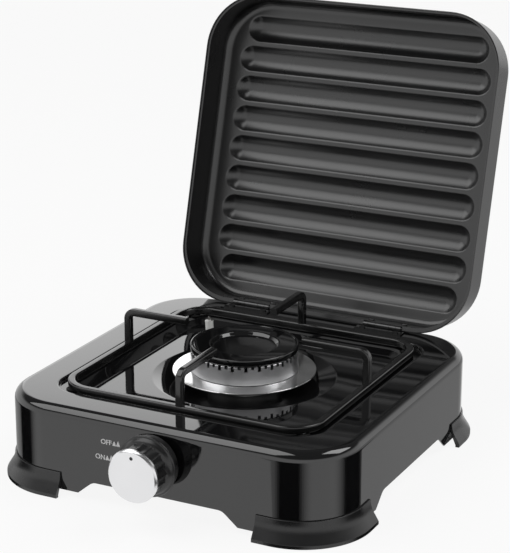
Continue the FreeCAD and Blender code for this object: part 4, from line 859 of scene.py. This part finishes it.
def printed(name, word, letter, low, flames):
    """A word and its triangles as one flat print; the letter and triangles are in millimetres."""
    bpy.ops.object.select_all(action="DESELECT")
    bpy.ops.object.text_add(location=(0, 0, 0))
    text = bpy.context.object
    text.name = name
    text.data.body = word
    text.data.size = letter * MM
    text.data.extrude = INK / 2 * MM
    text.data.offset = 0.1 * MM
    bpy.ops.object.convert(target="MESH")
    mark = bpy.context.object
    mark.data.transform(Matrix.Translation(Vector((low[0], 0, low[1])) * MM) @ STAND_UP)
    bpy.ops.object.mode_set(mode="EDIT")
    for x, width, height in flames:
        bpy.ops.mesh.select_all(action="DESELECT")
        bpy.ops.mesh.primitive_cylinder_add(vertices=3, radius=1.0 * MM, depth=INK * MM,
                                            location=Vector((x, 0, low[1] + 0.5)) * MM,
                                            rotation=(math.pi / 2, 0, 0))
        foot_of_flame = (x * MM, 0, low[1] * MM)
        bpy.ops.transform.resize(value=(width / 1.732, 1.0, height / 1.5), center_override=foot_of_flame)
    bpy.ops.mesh.select_all(action="SELECT")
    bpy.ops.mesh.remove_doubles(threshold=0.000001)
    bpy.ops.object.mode_set(mode="OBJECT")
    mark.data.transform(Matrix.Translation(Vector((0, FRONT_FACE - INK / 2, 0)) * MM))
    paint(mark, "white_print")
    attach(mark, "base")
    print(f"{mark.name:22s} {len(mark.data.polygons):6d} faces on base")


printed("print_off", "OFF", 5.4, (-46.8, 49.6), ((-35.2, 3.4, 4.0), (-31.8, 3.4, 4.6)))
printed("print_on", "ON", 5.4, (-51.8, 36.9), ((-41.4, 3.4, 4.0), (-38.0, 3.4, 4.6)))

# %% [markdown]
# The floor is a wide pale plane that the stove stands on. It shows white to the camera,
# but still takes the stove's shadow. Three large soft lamps light it: one behind on the
# left, one high in front on the left, and one high on the right.

# %% Floor and backdrop
FLOOR_LIFT = 0.9
bpy.ops.object.select_all(action="DESELECT")
bpy.ops.mesh.primitive_plane_add(size=14.0, location=(0, 0, 0))
floor = bpy.context.object
floor.name = "studio_floor"
floor_finish = bpy.data.materials.new("pale_floor")
floor_finish.use_nodes = True
floor_shader = floor_finish.node_tree.nodes["Principled BSDF"]
floor_shader.inputs["Base Color"].default_value = (0.92, 0.92, 0.92, 1.0)
floor_shader.inputs["Roughness"].default_value = 0.9
floor_shader.inputs["Specular IOR Level"].default_value = 0.1
floor_tree = floor_finish.node_tree
looked_at = add_node(floor_tree, "ShaderNodeLightPath")
direct = add_node(floor_tree, "ShaderNodeMath", {0: looked_at.outputs["Is Camera Ray"],
                                                 1: looked_at.outputs["Is Glossy Ray"]}, operation="MAXIMUM")
through = add_node(floor_tree, "ShaderNodeMath", {0: direct.outputs[0],
                                                  1: looked_at.outputs["Is Transmission Ray"]}, operation="MAXIMUM")
share = add_node(floor_tree, "ShaderNodeMath", {0: through.outputs[0], 1: FLOOR_LIFT}, operation="MULTIPLY")
paper = add_node(floor_tree, "ShaderNodeEmission", {"Color": (1.0, 1.0, 1.0, 1.0), "Strength": 1.0})
mixed = add_node(floor_tree, "ShaderNodeMixShader", {0: share.outputs[0], 1: floor_shader.outputs[0],
                                                     2: paper.outputs[0]})
floor_tree.links.new(mixed.outputs[0], floor_tree.nodes["Material Output"].inputs[0])
floor.data.materials.append(floor_finish)

# %% World: bright low down to the camera and to reflections, with a dark ceiling, and dimmer as a light
WALL_END, CEILING_START, CEILING_LEVEL = 0.30, 0.52, 0.10       # heights are sines of the elevation
world = bpy.data.worlds.new("studio_world")
bpy.context.scene.world = world
world.use_nodes = True
sky = world.node_tree
sky.nodes.clear()
sky_out = sky.nodes.new("ShaderNodeOutputWorld")
seen = add_node(sky, "ShaderNodeLightPath")
strength = add_node(sky, "ShaderNodeMath", {0: seen.outputs["Is Camera Ray"], 1: seen.outputs["Is Glossy Ray"]},
                    operation="MAXIMUM")
strength = add_node(sky, "ShaderNodeMath", {0: strength.outputs[0], 1: seen.outputs["Is Transmission Ray"]},
                    operation="MAXIMUM")
level = add_node(sky, "ShaderNodeMapRange", {"Value": strength.outputs[0], "To Min": 0.55, "To Max": 1.0})
facing = add_node(sky, "ShaderNodeTexCoord")
parts = add_node(sky, "ShaderNodeSeparateXYZ", {0: facing.outputs["Generated"]})
wall = add_node(sky, "ShaderNodeMapRange",
                {"Value": parts.outputs["Z"], "From Min": WALL_END, "From Max": CEILING_START,
                 "To Min": 1.0, "To Max": CEILING_LEVEL}, interpolation_type="SMOOTHSTEP")
strength = add_node(sky, "ShaderNodeMath", {0: level.outputs["Result"], 1: wall.outputs["Result"]},
                    operation="MULTIPLY")
glow = add_node(sky, "ShaderNodeBackground", {"Color": (1.0, 1.0, 1.0, 1.0), "Strength": strength.outputs[0]})
sky.links.new(glow.outputs[0], sky_out.inputs[0])


# %% Soft lamps
def soft_lamp(name, at, target, size, power):
    """A square soft lamp that faces its target."""
    bpy.ops.object.light_add(type="AREA", location=at)
    lamp = bpy.context.object
    lamp.name = name
    lamp.data.shape = "RECTANGLE"
    lamp.data.size, lamp.data.size_y = size
    lamp.data.energy = power
    lamp.rotation_mode = "QUATERNION"
    lamp.rotation_quaternion = (Vector(target) - Vector(at)).to_track_quat("-Z", "Y")


soft_lamp("lamp_back_left", (-1.4, 2.54, 1.0), (-0.05, 0.03, 0.07), (2.0, 1.4), 8)
soft_lamp("lamp_over_front_left", (-0.95, -0.7, 1.8), (0, 0, 0.07), (1.7, 1.7), 20)
soft_lamp("lamp_over_right", (1.2, 0.6, 1.9), (0, 0, 0.07), (1.2, 1.2), 16)

# %% [markdown]
# Gloss enamel looks black only where it mirrors something dark. Black sheets lie on the
# floor round the corners, out of the picture, and paint dark reflections on each corner:
# dark bands beside a bright one. Each fan's blades follow the mirrored sight lines, and
# its sheet fades out at the blade's sides. A large half-dark sheet on the right paints a
# dimmer reflection on the right wall. Only reflections see any of it; it casts no shadow.

# %% Black and grey sheets that paint dark reflections on the enamel
REFLECTION_SHEET_LENGTH, REFLECTION_SHEET_HEIGHT = 0.32, 0.0003
# Black where the sheet's dark share is full and clear elsewhere: the colour of the painted dark reflections.
painted_reflection_finish = bpy.data.materials.new("painted_reflection_black")
painted_reflection_finish.use_nodes = True
painted_reflection_tree = painted_reflection_finish.node_tree
painted_reflection_shader = painted_reflection_tree.nodes["Principled BSDF"]
painted_reflection_shader.inputs["Base Color"].default_value = (0.003, 0.003, 0.003, 1.0)
painted_reflection_shader.inputs["Specular IOR Level"].default_value = 0.0
painted_reflection_dark = add_node(painted_reflection_tree, "ShaderNodeAttribute", attribute_name="dark")
painted_reflection_clear = add_node(painted_reflection_tree, "ShaderNodeBsdfTransparent")
painted_reflection_mix = add_node(painted_reflection_tree, "ShaderNodeMixShader", {0: painted_reflection_dark.outputs["Fac"], 1: painted_reflection_clear.outputs[0],
                                                         2: painted_reflection_shader.outputs[0]})
painted_reflection_tree.links.new(painted_reflection_mix.outputs[0], painted_reflection_tree.nodes["Material Output"].inputs[0])


def lay_painted_reflection(name, mesh):
    """Lay a sheet that only reflections see: a painted reflection."""
    sheet = bpy.data.objects.new(name, mesh)
    bpy.context.collection.objects.link(sheet)
    mesh.materials.append(painted_reflection_finish)
    for ray in ("camera", "diffuse", "shadow", "transmission", "volume_scatter"):
        setattr(sheet, "visible_" + ray, False)


def painted_reflection_fan(name, side, first, last, bands, outside=0.0, step=2):
    """A fan of painted dark reflections round the front corner on this side; a band is a wall bearing and its half
    width, in degrees.
    """
    mesh = bpy.data.meshes.new(name)
    points, dark = [], []
    bearings = range(first, last + 1, step)
    for bearing in bearings:
        turn = math.radians(bearing)
        mirrored = 2 * turn - CAMERA_AZIMUTH
        near = Vector((side * CORNER_X + BODY_CORNER * math.sin(turn),
                       middle_y - CORNER_Y - BODY_CORNER * math.cos(turn), 0)) * MM
        away = Vector((math.sin(mirrored), -math.cos(mirrored), 0))
        for reach in (0.001, REFLECTION_SHEET_LENGTH):
            points.append(near + away * reach + Vector((0, 0, REFLECTION_SHEET_HEIGHT)))
            shares = [max(0.0, 1 - abs(bearing - middle) / half) for middle, half in bands]
            darkest = min(1.0, 1.6 * max(share * share * (3 - 2 * share) for share in shares))
            dark.append(max(darkest, outside if bearing < bands[0][0] else 0.0))
    faces = [(2 * k, 2 * k + 1, 2 * k + 3, 2 * k + 2) for k in range(len(bearings) - 1)]
    mesh.from_pydata(points, [], faces)
    mesh.attributes.new("dark", "FLOAT", "POINT").data.foreach_set("value", dark)
    lay_painted_reflection(name, mesh)


# Fans of painted dark reflections at the right and left front corners.
painted_reflection_fan("painted_reflection_fan_right", 1, 0, 90, ((14, 21), (76, 23)))
painted_reflection_fan("painted_reflection_fan_left", -1, -60, 0, ((-27, 17),), outside=0.5)
# A grey sheet on the right that only reflections see: a painted dimmer reflection on the right wall.
GREY_LEFT, GREY_RIGHT, GREY_NEAR, GREY_FAR = 0.147, 1.6, MIDDLE_Y - 0.08, 3.0
GREY_HEIGHT, GREY_DARK = 0.0001, 0.4
grey = bpy.data.meshes.new("painted_reflection_grey_right")
grey.from_pydata([(GREY_LEFT, GREY_NEAR, GREY_HEIGHT), (GREY_RIGHT, GREY_NEAR, GREY_HEIGHT),
                  (GREY_RIGHT, GREY_FAR, GREY_HEIGHT), (GREY_LEFT, GREY_FAR, GREY_HEIGHT)], [], [(0, 1, 2, 3)])
grey.attributes.new("dark", "FLOAT", "POINT").data.foreach_set("value", [GREY_DARK] * 4)
lay_painted_reflection("painted_reflection_grey_right", grey)
